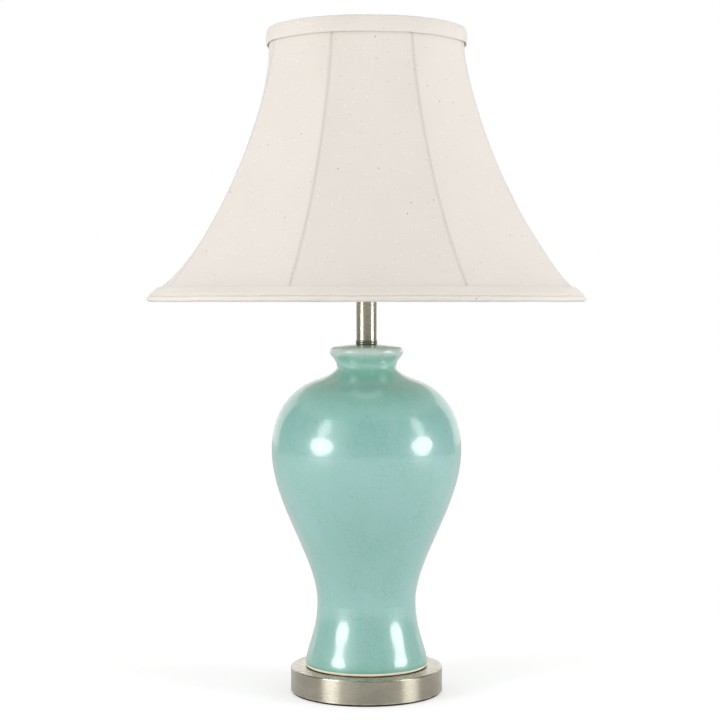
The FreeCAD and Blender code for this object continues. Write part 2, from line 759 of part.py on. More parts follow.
def build_socket():
    """Cap, shell, insulating liner, core, screw shell, contact and terminals."""
    low, high = "cap_hub_height", "cap_height - cap_rim"
    inner = "cap_radius - cap_wall"
    cap = Outline("pipe_hole", "0").line("cap_hub", "0").line("cap_hub", low)
    cap.arc("cap_radius", high, "cap_bowl", "left").line("cap_radius", "cap_height")
    cap.line(inner, "cap_height").line(inner, high)
    cap.arc("cap_hub", f"{low} + cap_wall", "cap_bowl - cap_wall", "right")
    cap.line("pipe_hole", f"{low} + cap_wall").close()
    turned("socket_cap", "socket_level", cap)
    derive("shell_radius", "cap_radius - cap_wall - sleeve_gap")
    derive("shell_bore", "shell_radius - shell_wall")
    bead_high = "shell_height - shell_bead_drop"
    shell = Outline("shell_bore", "0").line("shell_radius", "0")
    shell.line("shell_radius", f"{bead_high} - shell_bead_width")
    shell.arc("shell_radius", bead_high, "shell_bead", "left").line("shell_radius", "shell_height")
    shell.line("shell_bore", "shell_height").close()
    shell_body = turned("socket_shell", "socket_level + shell_start", shell)
    cut_hole(shell_body, "XZ_Plane", "0", "stem_level - shell_start", "stem_hole", reversed_way=True)
    derive("liner_radius", "shell_bore - sleeve_gap")
    liner_body = ring("socket_liner", "socket_level + liner_start", "liner_radius - liner_wall",
                      "liner_radius", "liner_height")
    cut_hole(liner_body, "XZ_Plane", "0", "stem_level - liner_start", "stem_hole", reversed_way=True)
    build_core()
    ring("socket_screw_shell", "core_top_level", "screw_shell_bore",
         "screw_shell_bore + screw_shell_wall", "screw_shell_height")
    contact = Outline("0", "0").line("contact_radius", "0").line("contact_radius", "contact_height / 2")
    contact.line("contact_radius / 2", "contact_height").line("0", "contact_height").close()
    turned("socket_contact", "core_top_level", contact)
    build_terminals()


def build_core():
    """Moulded core with the flange that carries the screw shell and the bore of the switch stem."""
    flange = "liner_radius - liner_wall - sleeve_gap"
    under = "core_height - core_flange"
    core = Outline("0", "0").line("core_radius", "0").line("core_radius", under)
    core.line(flange, under).line(flange, "core_height").line("0", "core_height").close()
    body = turned("socket_core", "socket_level + core_start", core)
    cut_hole(body, "XZ_Plane", "0", "stem_level - core_start", "stem_radius + slide_gap",
             reversed_way=True)


def build_terminals():
    """One terminal screw head on each side of the core."""
    heads = []
    for name, side in (("right", 1), ("left", -1)):
        head = doc.addObject("Part::Cylinder", f"terminal_{name}")
        head.setExpression("Radius", bound("terminal_radius"))
        head.setExpression("Height", bound("terminal_height"))
        place(head, "socket_level + core_start + terminal_level",
              across=f"{side} * core_radius", axis=Y_AXIS, turn=f"{side} * 90")
        heads.append(head)
    screws = doc.addObject("Part::Compound", "socket_terminals")
    screws.Label = "socket_terminals"
    screws.Links = heads
    pieces.append(screws)


def build_switch():
    """Turn stem and its knob, pointing forwards from the socket."""
    level = "socket_level + stem_level"
    stem = Outline("0", "0").line("stem_radius", "0").line("stem_radius", "stem_length")
    stem.line("0", "stem_length").close()
    turned("switch_stem", level, stem, back="0 - stem_start", axis=X_AXIS, turn="90")
    derive("knob_start", "cap_radius + knob_standoff")
    depth = "stem_start + stem_length - knob_start + slide_gap"
    bore = "stem_radius + slide_gap"
    end = "knob_radius - knob_taper"
    knob = Outline(bore, "0").line("knob_radius", "0").line(end, "knob_length - knob_bevel")
    knob.line(f"{end} - knob_bevel", "knob_length").line("0", "knob_length").line("0", depth)
    knob.line(bore, depth).close()
    turned("switch_knob", level, knob, back="0 - knob_start", axis=X_AXIS, turn="90")


def build_bulb():
    """Contact tip, glass ring, screw cap and the blown globe."""
    tip = Outline("0", "0").line("tip_point", "0").line("tip_radius", "tip_height")
    turned("bulb_tip", "bulb_level", tip.line("0", "tip_height").close())
    glass = Outline("0", "0").line("tip_radius", "0")
    glass.line("bulb_cap_radius - bulb_cap_wall", "glass_ring_height")
    glass.line("0", "glass_ring_height").close()
    turned("bulb_glass_ring", "bulb_level + tip_height", glass)
    derive("bulb_cap_level", "bulb_level + tip_height + glass_ring_height")
    ring("bulb_cap", "bulb_cap_level", "bulb_cap_radius - bulb_cap_wall", "bulb_cap_radius",
         "bulb_cap_height")
    centre = "globe_length - globe_radius"
    inner_neck = "globe_neck - globe_wall"
    inner_side = "globe_radius - globe_wall"
    globe = Outline(inner_neck, "0").line("globe_neck", "0")
    globe.curve(("globe_neck", "globe_neck_reach"), ("globe_radius", f"{centre} - globe_side_reach"),
                "globe_radius", centre)
    globe.arc("0", "globe_length", "globe_radius", "left").line("0", "globe_length - globe_wall")
    globe.arc(inner_side, centre, inner_side, "right")
    globe.curve((inner_side, f"{centre} - globe_side_reach"), (inner_neck, "globe_neck_reach"),
                inner_neck, "0")
    turned("bulb_globe", "bulb_cap_level + bulb_cap_height", globe)


def build_frame():
    """Hub, arms, rings and ribs of the shade, all of wire but the hub."""
    ring("shade_hub", "hub_level", "stud_radius + stud_gap", "hub_radius", "hub_height")
    arm_level = "hub_level + hub_height / 2"
    derive("arm_start", "hub_radius + braze_gap")
    derive("arm_length", "top_ring_radius - arm_start")
    derive("arm_end_level", "shade_level + top_ring_height - ring_wire - braze_gap - arm_wire")
    derive("arm_rise", f"arm_end_level - ({arm_level})")
    derive("arm_tangent", "arm_bend * tan(arm_slope / 2)")
    derive("arm_crest", "arm_length - arm_ledge")
    derive("arm_knee", "arm_crest - arm_rise / tan(arm_slope)")
    for number in range(int(value("arm_count"))):
        build_arm(number, arm_level)
    for label, radius, height in (("shade_top_ring", "top_ring_radius", "top_ring_height"),
                                  ("shade_bottom_ring", "bottom_ring_radius", "bottom_ring_height")):
        wire = doc.addObject("Part::Torus", label)
        wire.Label = label
        wire.setExpression("Radius1", bound(radius))
        wire.setExpression("Radius2", bound("ring_wire"))
        place(wire, f"shade_level + {height}")
        pieces.append(wire)
    for number in range(int(value("rib_count"))):
        build_rib(number)


def build_arm(number, level):
    """One spider arm: level from the hub, then up a short slope to end under the top ring."""
    turn = f"arm_phase + {number} * 360 / arm_count"
    over, up = "arm_tangent * cos(arm_slope)", "arm_tangent * sin(arm_slope)"
    path = Outline("0", "0").line("arm_knee - arm_tangent", "0")
    path.arc(f"arm_knee + {over}", up, "arm_bend", "left")
    path.line(f"arm_crest - {over}", f"arm_rise - {up}")
    path.arc("arm_crest + arm_tangent", "arm_rise", "arm_bend", "right")
    path.line("arm_length", "arm_rise")
    bent_wire(f"shade_arm_{number + 1}", level, path, "arm_wire", "YZ_Plane",
              across=f"arm_start * cos({turn})", back=f"arm_start * sin({turn})", turn=turn)


def build_rib(number):
    """One rib: a round wire turned about the centre of the cover's arc."""
    turn = f"rib_phase + {number} * 360 / rib_count"
    label = f"shade_rib_{number + 1}"
    body = new_body(label, "shade_level + arc_height", across=f"arc_radius_out * cos({turn})",
                    back=f"arc_radius_out * sin({turn})", turn=turn)
    section = new_sketch(body, "XY_Plane", "section", tilt="0 - rib_start")
    add_circle(section, "0 - rib_axis_arc", "0", "rib_wire")
    bend = body.newObject("PartDesign::Revolution", f"{label}_bend")
    bend.Profile = section
    bend.ReferenceAxis = (section, ["V_Axis"])
    bend.setExpression("Angle", bound("rib_sweep"))
    bend.Reversed = True


def build_gore(number):
    """One panel of the cover: round at the rings and nearly flat between the ribs half-way up."""
    label = f"shade_gore_{number + 1}"
    body = new_body(label, "shade_level", turn=f"rib_phase + ({number} + 0.5) * 360 / rib_count")
    sections = []
    heights = ["(cover_inset)"]
    for share in SECTION_SHARES:
        heights.append(f"(cover_inset + rim_band + {share} * (cover_rise - 2 * rim_band))")
    heights.append("(cover_high)")
    for count, height in enumerate(heights):
        sketch = new_sketch(body, "XY_Plane", f"section_{count + 1}", lift=height)
        draw_gore_section(sketch, height)
        sections.append(sketch)
    cloth = body.newObject("PartDesign::AdditiveLoft", f"{label}_cloth")
    cloth.Profile = sections[0]
    cloth.Sections = sections[1:]
    cloth.Ruled = False


def draw_gore_section(sketch, height):
    """The cloth's cut at one height: two arcs between two seams."""
    outer = cover_radius(height)
    inner = f"({outer} - cover_thickness)"
    half = "180 / rib_count"
    above_rim = f"({height} - cover_inset - rim_band)"
    below_rim = f"(cover_high - rim_band - {height})"
    fullness = (f"min(1; fullness_least + exp(0 - {above_rim} / fullness_reach)"
                f" + exp(0 - {below_rim} / fullness_reach))")

    def corner(radius):
        """A seam corner, drawn back from the rib by half the seam's gap."""
        side = f"({radius} * sin({half}) - seam_gap / 2 * cos({half}))"
        return f"({radius} * cos({half}) + seam_gap / 2 * sin({half}))", side

    def bulge(radius, side):
        """The arc's radius, from the sagitta that the fullness leaves."""
        sagitta = f"({fullness} * {radius} * (1 - cos({half})))"
        return f"({side} * {side} + {sagitta} * {sagitta}) / 2 / {sagitta}"

    out_across, out_side = corner(outer)
    in_across, in_side = corner(inner)
    shape = Outline(out_across, f"0 - {out_side}")
    shape.arc(out_across, out_side, bulge(outer, out_side), "left").line(in_across, in_side)
    shape.arc(in_across, f"0 - {in_side}", bulge(inner, in_side), "right")
    shape.close().draw(sketch)


def build_lining():
    """Lining stretched between the rings, inside the ribs."""
    low, high = "cover_inset + lining_low_inset", "cover_high - lining_top_inset"
    frame_depth = "(2 * rib_wire + 3 * cloth_gap)"
    derive("lining_top_radius", f"{cover_radius(high)} - cover_thickness - {frame_depth}")
    derive("lining_bottom_radius",
           f"{cover_radius(low)} - 2 * cover_thickness - {frame_depth} / cos(bottom_slope)")
    lining = Outline("lining_bottom_radius", low)
    lining.arc("lining_top_radius", high, "lining_arc", "right")
    lining.line("lining_top_radius - lining_thickness", high)
    lining.arc("lining_bottom_radius - lining_thickness", low,
               "lining_arc + lining_thickness", "left")
    turned("shade_lining", "shade_level", lining.close())


def build_trims():
    """Folded bands over the two rings."""
    gap, cloth = "cloth_gap", "trim_thickness"
    outer = "cover_top_radius + trim_gap"
    low = "shade_height - top_trim_height"
    low_outer = f"{cover_radius(low)} + trim_gap"
    inner = f"top_ring_radius - ring_wire - {gap}"
    crest = f"cover_high + {gap}"
    band = Outline(low_outer, low).line(f"{low_outer} + {cloth}", low)
    band.line(f"{outer} + {cloth}", "shade_height - trim_round")
    band.arc(f"{outer} + {cloth} - trim_round", "shade_height", "trim_round", "left")
    band.line(f"{inner} - {cloth} + trim_round", "shade_height")
    band.arc(f"{inner} - {cloth}", "shade_height - trim_round", "trim_round", "left")
    band.line(f"{inner} - {cloth}", "shade_height - trim_return").line(inner, "shade_height - trim_return")
    band.line(inner, crest).line(outer, crest).close()
    turned("shade_top_trim", "shade_level", band)

    slant_gap = "trim_gap / cos(bottom_slope)"
    slant_cloth = "trim_thickness / cos(bottom_slope)"
    outer = f"cover_bottom_radius + {slant_gap}"
    high = "bottom_trim_height"
    high_outer = f"{cover_radius(high)} + {slant_gap}"
    inner = "lining_bottom_radius"
    lip = f"cover_inset + lining_low_inset - {gap}"
    heel = f"bottom_ring_radius - ring_wire - {gap}"
    hem = f"cover_inset - {gap}"
    band = Outline(high_outer, high).line(outer, hem).line(heel, hem).line(inner, lip)
    band.line(f"{inner} - {cloth}", lip).line(f"{heel} - {cloth}", "trim_round")
    band.arc(f"{heel} - {cloth} + trim_round", "0", "trim_round", "left")
    band.line(f"{outer} + {slant_cloth} - trim_round", "0")
    band.arc(f"{outer} + {slant_cloth}", "trim_round", "trim_round", "left")
    band.line(f"{high_outer} + {slant_cloth}", high).close()
    turned("shade_bottom_trim", "shade_level", band)


def build_shade():
    """The whole shade: frame, cover, lining and trims."""
    derive_shade_curve()
    build_frame()
    for number in range(int(value("rib_count"))):
        build_gore(number)
    build_lining()
    build_trims()


def check_and_write():
    """Stop at a failed object or a bad shape, then write one file for each piece."""
    doc.recompute()
    for thing in doc.Objects:
        if {"Invalid", "Error"} & set(thing.State):
            raise ValueError(f"{thing.Name} failed: {thing.State}")
    for piece in pieces:
        if piece.Shape.isNull() or not piece.Shape.isValid() or not piece.Shape.Solids:
            raise ValueError(f"{piece.Label} has no valid solid")
    os.makedirs("parts", exist_ok=True)
    for piece in pieces:
        piece.Shape.exportStep(f"parts/{piece.Label}.step")


fill_sheet()
derive_levels()
build_base()
build_column()
build_saddle()
build_socket()
build_switch()
build_bulb()
build_harp()
build_finial()
build_shade()
check_and_write()
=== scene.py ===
"""Looks of the jar lamp: its studio, its finishes and its cloth and small turned pieces.

Metres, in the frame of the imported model: +Z is up, the lamp stands on z = 0 and its front
faces -Y. Every sub-assembly is a class that owns its sizes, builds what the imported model
leaves plain and dresses the rest.
"""

import enum
import json
import logging
import math
import random
from dataclasses import dataclass
from typing import Callable, Sequence

import bpy
import numpy as np
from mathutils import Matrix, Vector

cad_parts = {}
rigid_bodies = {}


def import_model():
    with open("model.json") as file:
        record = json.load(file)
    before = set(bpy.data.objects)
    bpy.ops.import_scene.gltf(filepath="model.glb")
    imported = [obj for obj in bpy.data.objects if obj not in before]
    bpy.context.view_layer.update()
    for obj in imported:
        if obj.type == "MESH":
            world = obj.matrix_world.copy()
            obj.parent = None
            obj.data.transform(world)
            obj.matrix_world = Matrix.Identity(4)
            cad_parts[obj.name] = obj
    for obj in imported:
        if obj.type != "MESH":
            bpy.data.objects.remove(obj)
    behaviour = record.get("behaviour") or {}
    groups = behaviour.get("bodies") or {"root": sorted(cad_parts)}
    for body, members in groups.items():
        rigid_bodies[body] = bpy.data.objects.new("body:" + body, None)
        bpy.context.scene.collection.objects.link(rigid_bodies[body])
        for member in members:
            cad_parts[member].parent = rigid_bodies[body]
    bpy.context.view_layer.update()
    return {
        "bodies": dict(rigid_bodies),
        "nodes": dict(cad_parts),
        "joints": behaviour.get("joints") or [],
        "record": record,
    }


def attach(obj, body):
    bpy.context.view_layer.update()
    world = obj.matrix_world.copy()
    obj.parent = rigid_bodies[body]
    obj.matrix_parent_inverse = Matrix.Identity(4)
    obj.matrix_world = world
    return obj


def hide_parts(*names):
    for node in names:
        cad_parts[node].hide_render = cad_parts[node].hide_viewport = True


LOG = logging.getLogger("jar_lamp")

CLOTH_EDGE = 48.0
TURNED_EDGE = 40.0
MILLIMETRE = 0.001

Colour = tuple[float, float, float]
Socket = bpy.types.NodeSocket
Point = tuple[float, float]


def tone(red: int, green: int, blue: int) -> Colour:
    """Turn a colour as a screen shows it into the light that it stands for.

    Args:
        red: The red part, 0 to 255.
        green: The green part, 0 to 255.
        blue: The blue part, 0 to 255.

    Returns:
        The same colour in linear light.
    """
    def linear(part: int) -> float:
        """One part in linear light."""
        share = part / 255
        if share <= 0.04045:
            return share / 12.92
        return ((share + 0.055) / 1.055) ** 2.4
    return linear(red), linear(green), linear(blue)


class Space(enum.Enum):
    """Where a pattern takes its place from."""

    SOLID = "Object"
    CLOTH = "UV"


class Recipe:
    """A material of nodes, built up round one Principled shader."""

    def __init__(self, name: str) -> None:
        """Start an empty material.

        Args:
            name: The material's name.
        """
        self.material = bpy.data.materials.new(name)
        self.material.use_nodes = True
        self.tree = self.material.node_tree
        self.shader = self.tree.nodes["Principled BSDF"]

    def fix(self, **constants: float | Colour) -> None:
        """Set inputs of the shader that are the same all over the surface.

        Args:
            constants: Input names in lower case with underscores, and their values.
        """
        for name, value in constants.items():
            socket = next(s for s in self.shader.inputs if s.name.lower().replace(" ", "_") == name)
            socket.default_value = (*value, 1.0) if isinstance(value, tuple) else value

    def node(self, kind: str, **settings: object) -> bpy.types.Node:
        """Add a node.

        Args:
            kind: The node's type without its common beginning.
            settings: Properties to set on it.

        Returns:
            The new node.
        """
        node = self.tree.nodes.new("ShaderNode" + kind)
        for name, value in settings.items():
            setattr(node, name, value)
        return node

    def feed(self, target: Socket, source: Socket | float | Colour) -> None:
        """Join a socket or a plain value to an input."""
        if isinstance(source, bpy.types.NodeSocket):
            self.tree.links.new(source, target)
        elif isinstance(source, tuple):
            target.default_value = (*source, 1.0)[:len(target.default_value)]
        else:
            target.default_value = source

    def drive(self, name: str, source: Socket) -> None:
        """Join a pattern to one of the shader's inputs."""
        self.tree.links.new(source, self.shader.inputs[name])

    def place(self, space: Space, scale: Sequence[float] = (1, 1, 1), turn: float = 0.0) -> Socket:
        """Give the coordinates of a pattern.

        Args:
            space: Whether the pattern fills the solid or lies on the cloth.
            scale: How often it repeats along each axis, for each metre.
            turn: How far it is turned about its third axis, in degrees.

        Returns:
            The vector socket.
        """
        source = self.node("TexCoord").outputs[space.value]
        mapping = self.node("Mapping")
        self.feed(mapping.inputs["Vector"], source)
        mapping.inputs["Scale"].default_value = scale
        mapping.inputs["Rotation"].default_value = (0, 0, math.radians(turn))
        return mapping.outputs["Vector"]

    def math(self, operation: str, first: Socket | float, second: Socket | float = 0.0) -> Socket:
        """Join two values by one operation."""
        node = self.node("Math", operation=operation)
        self.feed(node.inputs[0], first)
        self.feed(node.inputs[1], second)
        return node.outputs[0]

    def parts(self, vector: Socket) -> tuple[Socket, Socket, Socket]:
        """Split a vector into its three parts."""
        node = self.node("SeparateXYZ")
        self.feed(node.inputs[0], vector)
        return node.outputs[0], node.outputs[1], node.outputs[2]

    def noise(self, scale: float | Sequence[float], detail: float = 2.0, rough: float = 0.5,
              space: Space = Space.SOLID, turn: float = 0.0) -> Socket:
        """Cloudy noise.

        Args:
            scale: How fine it is for each metre, on all axes or on each of them.
            detail: How many finer layers it has.
            rough: How strong those layers are.
            space: Whether it fills the solid or lies on the cloth.
            turn: How far it is turned about its third axis, in degrees.

        Returns:
            A value from 0 to 1.
        """
        scales = scale if isinstance(scale, tuple) else (scale,) * 3
        node = self.node("TexNoise")
        self.feed(node.inputs["Vector"], self.place(space, scales, turn))
        self.feed(node.inputs["Scale"], 1.0)
        self.feed(node.inputs["Detail"], detail)
        self.feed(node.inputs["Roughness"], rough)
        return node.outputs[0]

    def cells(self, vector: Socket, feature: str = "F1", flat: bool = False) -> tuple[Socket, Socket]:
        """Scattered cells.

        Args:
            vector: Where the cells are read, one cell to a unit.
            feature: F1 for the distance to the middle, DISTANCE_TO_EDGE for the borders.
            flat: Whether the cells lie in a plane.

        Returns:
            The distance, and a number that differs from cell to cell.
        """
        node = self.node("TexVoronoi", feature=feature, voronoi_dimensions="2D" if flat else "3D")
        self.feed(node.inputs["Vector"], vector)
        self.feed(node.inputs["Scale"], 1.0)
        if feature != "F1":
            return node.outputs["Distance"], node.outputs["Distance"]
        return node.outputs["Distance"], self.parts(node.outputs["Color"])[0]

    def span(self, value: Socket, low: float, high: float, start: float = 0.0, end: float = 1.0) -> Socket:
        """Stretch a value from one range to another, held at both ends.

        Args:
            value: The value to stretch.
            low: Where it begins.
            high: Where it ends.
            start: What it becomes at the beginning.
            end: What it becomes at the end.

        Returns:
            The stretched value.
        """
        node = self.node("MapRange", interpolation_type="SMOOTHSTEP")
        names = ("Value", "From Min", "From Max", "To Min", "To Max")
        for name, number in zip(names, (value, low, high, start, end)):
            self.feed(node.inputs[name], number)
        return node.outputs[0]

    def blend(self, share: Socket | float, first: Socket | Colour, second: Socket | Colour) -> Socket:
        """Mix two colours."""
        node = self.node("Mix", data_type="RGBA")
        self.feed(node.inputs[0], share)
        self.feed(node.inputs[6], first)
        self.feed(node.inputs[7], second)
        return node.outputs[2]

    def ramp(self, value: Socket, stops: Sequence[tuple[float, Colour]]) -> Socket:
        """Colours along a value.

        Args:
            value: From 0 to 1.
            stops: Places and their colours, in order.

        Returns:
            The colour.
        """
        node = self.node("ValToRGB")
        self.feed(node.inputs[0], value)
        elements = node.color_ramp.elements
        while len(elements) < len(stops):
            elements.new(1.0)
        for element, (position, colour) in zip(elements, stops):
            element.position = position
            element.color = (*colour, 1.0)
        return node.outputs[0]

    def relief(self, height: Socket, depth: float, strength: float = 1.0,
               over: Socket | None = None) -> Socket:
        """Bump from a height.

        Args:
            height: The height, from 0 to 1.
            depth: How deep 1 is, in metres.
            strength: How much of it is used.
            over: The normal of a broader relief that this one lies on.

        Returns:
            The normal.
        """
        node = self.node("Bump")
        self.feed(node.inputs["Height"], height)
        self.feed(node.inputs["Distance"], depth)
        self.feed(node.inputs["Strength"], strength)
        if over is not None:
            self.feed(node.inputs["Normal"], over)
        return node.outputs[0]


@dataclass(frozen=True)
class Fleck:
    """Small marks of one kind, scattered over a cloth.

    Attributes:
        scale: How many cells hold one for each metre, across and along.
        size: Its size, as a share of a cell.
        colour: Its colour.
        share: How common it is beside the other kinds.
    """

    scale: tuple[float, float, float]
    size: float
    colour: Colour
    share: float


FLECKS = (
    Fleck((60, 46, 1), 0.020, tone(120, 98, 74), 0.35),
    Fleck((150, 96, 1), 0.030, tone(176, 164, 148), 0.5),
    Fleck((30, 150, 1), 0.026, tone(196, 184, 164), 0.8),
    Fleck((170, 60, 1), 0.040, tone(252, 250, 246), 1.2),
)


@dataclass(frozen=True)
class Woven:
    """Plain woven cloth with slubs and flecks, as linen has.

    Attributes:
        name: The finish's name.
        colour: Its usual colour.
        shade: The colour of its darker threads, also used as painted shade in the weave's hollows and, darker
            still, along its seams.
        thread: The width of one thread, in metres.
        turn: How far the weave is turned on the piece, in degrees.
        slubs: How strongly thick threads show, 0 to 1.
        flecks: The share of places that have a dark fleck.
        rough: The roughness of the fibre.
    """

    name: str
    colour: Colour
    shade: Colour
    thread: float = 0.00055
    turn: float = 0.0
    slubs: float = 1.0
    flecks: float = 0.5
    rough: float = 0.85

    def make(self) -> bpy.types.Material:
        """Build the material."""
        mix = Recipe(self.name)
        line = 1 / self.thread
        flat = mix.place(Space.CLOTH, (1, 1, 1), self.turn)
        wander = mix.noise(260, 3.0, space=Space.CLOTH, turn=self.turn)
        drift = mix.math("MULTIPLY", wander, self.thread * 3.5)
        across, along, _ = mix.parts(flat)
        warp = mix.math("SINE", mix.math("MULTIPLY", mix.math("ADD", across, drift), math.pi * line))
        weft = mix.math("SINE", mix.math("MULTIPLY", mix.math("SUBTRACT", along, drift), math.pi * line))
        weave = mix.span(mix.math("MULTIPLY", warp, weft), -1.0, 1.0)
        thick_weft = mix.noise((45, 900, 1), 3.0, 0.6, Space.CLOTH, self.turn)
        thick_warp = mix.noise((900, 45, 1), 3.0, 0.6, Space.CLOTH, self.turn)
        slub = mix.math("MAXIMUM", mix.span(thick_weft, 0.56, 0.78), mix.span(thick_warp, 0.58, 0.80))
        slub = mix.math("MULTIPLY", slub, self.slubs)
        # The weave's checks are darker: partly darker threads, partly painted shade in the hollows between
        # them.
        colour = mix.blend(mix.math("MULTIPLY", weave, 0.35), self.colour, self.shade)
        cloud = mix.noise((9, 9, 1), 3.0, space=Space.CLOTH)
        colour = mix.blend(mix.span(cloud, 0.35, 0.75, 0.0, 0.16), colour, self.shade)
        light = tuple(min(1.0, part * 1.05) for part in self.colour)
        colour = mix.blend(mix.math("MULTIPLY", slub, 0.55), colour, light)
        colour = self.add_flecks(mix, colour)
        # Painted shade: the cloth is darkened towards each seam, standing in for the shadow in the sunken
        # groove there.
        seam = mix.node("Attribute", attribute_name="seam").outputs["Fac"]
        painted_seam_shade = tuple(part * 0.62 for part in self.shade)
        colour = mix.blend(mix.math("MULTIPLY", seam, 0.26), colour, painted_seam_shade)
        mix.drive("Base Color", colour)
        mix.drive("Roughness", mix.span(cloud, 0.2, 0.8, self.rough - 0.05, self.rough + 0.05))
        broad = mix.relief(slub, 0.00022, 0.7)
        mix.drive("Normal", mix.relief(weave, self.thread * 0.28, 0.8, broad))
        mix.fix(sheen_weight=0.12, sheen_roughness=0.5, specular_ior_level=0.2)
        return mix.material

    def add_flecks(self, mix: Recipe, colour: Socket) -> Socket:
        """Scatter small brown husks and a few grey ones over the cloth.

        Args:
            mix: The material.
            colour: The cloth's colour so far.

        Returns:
            The colour with the flecks.
        """
        for fleck in FLECKS:
            place = mix.place(Space.CLOTH, fleck.scale, self.turn + 20)
            distance, number = mix.cells(place, flat=True)
            near = mix.span(distance, fleck.size, fleck.size * 1.9, 1.0, 0.0)
            chosen = mix.math("LESS_THAN", number, self.flecks * fleck.share * 0.5)
            shown = mix.math("MULTIPLY", mix.math("MULTIPLY", near, chosen), 0.8)
            colour = mix.blend(shown, colour, fleck.colour)
        return colour


# Glaze tones up the jar, from foot to lip. Besides the glaze's own pooling and thinning they hold painted
# light: the stops from the shoulder up to the throat are painted lighter to make up for the shade that falls
# there, and the pale stop at 0.985 is a painted highlight along the lip as well as thinner glaze.
GLAZE_AND_PAINTED_LIGHT_TONES = (
    (0.000, tone(120, 186, 166)),
    (0.040, tone(150, 196, 186)),
    (0.200, tone(144, 193, 186)),
    (0.420, tone(142, 190, 184)),
    (0.660, tone(144, 192, 186)),
    (0.800, tone(140, 194, 186)),
    (0.880, tone(136, 197, 183)),
    (0.920, tone(140, 202, 184)),
    (0.955, tone(158, 206, 191)),
    (0.985, tone(216, 226, 220)),
    (0.998, tone(124, 188, 168)),
)


@dataclass(frozen=True)
class Celadon:
    """Glossy blue-green glaze with fine crackle, thin at edges, over cream clay at the foot, with painted
    light in its tones up the jar.

    Attributes:
        name: The finish's name.
        foot: The height of the jar's foot, in metres.
        bare: The height of the unglazed ring above the foot.
        tall: The height of the jar.
        clay_rough: The roughness of the bare clay.
        nets: For each net of cracks its cells for each metre, the cracks' width and their strength.
    """

    name: str = "celadon_glaze"
    foot: float = 0.0244
    bare: float = 0.0021
    tall: float = 0.2966
    clay_rough: float = 0.8
    nets: tuple[tuple[float, float, float], ...] = ((210.0, 0.035, 1.0), (430.0, 0.055, 0.7))

    def make(self) -> bpy.types.Material:
        """Build the material."""
        mix = Recipe(self.name)
        whole = mix.place(Space.SOLID)
        _, _, height = mix.parts(whole)
        cloud = mix.noise((22, 22, 12), 4.0, 0.55)
        runs = mix.noise((70, 70, 9), 3.0)
        # The tones up the jar include painted light at the throat and shoulder and a painted highlight at the
        # lip.
        colour = mix.ramp(self.share_of(mix, height), GLAZE_AND_PAINTED_LIGHT_TONES)
        colour = mix.blend(mix.span(cloud, 0.35, 0.75, 0.0, 0.45), colour, tone(124, 184, 170))
        colour = mix.blend(mix.span(runs, 0.45, 0.80, 0.0, 0.35), colour, tone(156, 196, 196))
        cracks = self.cracks(mix)
        colour = mix.blend(mix.math("MULTIPLY", cracks, 0.30), colour, tone(84, 146, 130))
        dots, number = mix.cells(mix.place(Space.SOLID, (70, 70, 70)))
        spot = mix.math("MULTIPLY", mix.span(dots, 0.03, 0.07, 1.0, 0.0), mix.math("LESS_THAN", number, 0.16))
        colour = mix.blend(mix.math("MULTIPLY", spot, 0.5), colour, tone(88, 120, 104))
        edge = mix.noise(90, 2.0)
        level = mix.math("ADD", height, mix.math("MULTIPLY", edge, 0.0006))
        rim = self.foot + self.bare + 0.0003
        glazed = mix.span(level, rim - 0.0001, rim + 0.0003)
        pool = mix.math("SUBTRACT", 1.0, mix.span(level, rim, rim + 0.0038))
        colour = mix.blend(mix.math("MULTIPLY", pool, 0.85), colour, tone(92, 168, 146))
        clay_noise = mix.noise(900, 4.0)
        clay = mix.blend(clay_noise, tone(252, 243, 226), tone(236, 222, 198))
        mix.drive("Base Color", mix.blend(glazed, clay, colour))
        smoother = mix.math("SUBTRACT", mix.span(cloud, 0.2, 0.8, 0.27, 0.37), self.clay_rough)
        mix.drive("Roughness", mix.math("ADD", mix.math("MULTIPLY", glazed, smoother), self.clay_rough))
        mix.drive("Coat Weight", glazed)
        ripple = mix.relief(mix.noise((16, 16, 34), 2.0), 0.0012, 0.35)
        skin = mix.relief(mix.noise(420, 2.0), 0.00006, 0.35, ripple)
        mix.drive("Normal", mix.relief(mix.math("SUBTRACT", 1.0, cracks), 0.00005, 0.6, skin))
        mix.fix(coat_roughness=0.13, coat_ior=1.6, ior=1.5, specular_ior_level=0.7)
        return mix.material

    def share_of(self, mix: Recipe, height: Socket) -> Socket:
        """How far up the jar a height is, from 0 to 1."""
        node = mix.node("MapRange")
        for name, number in (("Value", height), ("From Min", self.foot), ("From Max", self.foot + self.tall)):
            mix.feed(node.inputs[name], number)
        return node.outputs[0]

    def cracks(self, mix: Recipe) -> Socket:
        """The crackle: a coarse net with a finer one inside it.

        Args:
            mix: The material.

        Returns:
            1 on a crack and 0 beside it.
        """
        net: Socket | None = None
        for step, width, strength in self.nets:
            place = mix.place(Space.SOLID, (step, step, step * 0.8))
            bent = mix.node("Mix", data_type="VECTOR")
            warp = mix.node("TexNoise")
            mix.feed(warp.inputs["Vector"], place)
            mix.feed(warp.inputs["Scale"], 0.8)
            mix.feed(bent.inputs[0], 0.35)
            mix.feed(bent.inputs[4], place)
            mix.feed(bent.inputs[5], warp.outputs["Color"])
            distance, _ = mix.cells(bent.outputs[1], "DISTANCE_TO_EDGE")
            line = mix.math("MULTIPLY", mix.span(distance, 0.0, width, 1.0, 0.0), strength)
            net = line if net is None else mix.math("MAXIMUM", net, line)
        patchy = mix.span(mix.noise(30, 2.0), 0.35, 0.6, 0.25, 1.0)
        return mix.math("MULTIPLY", net, patchy)


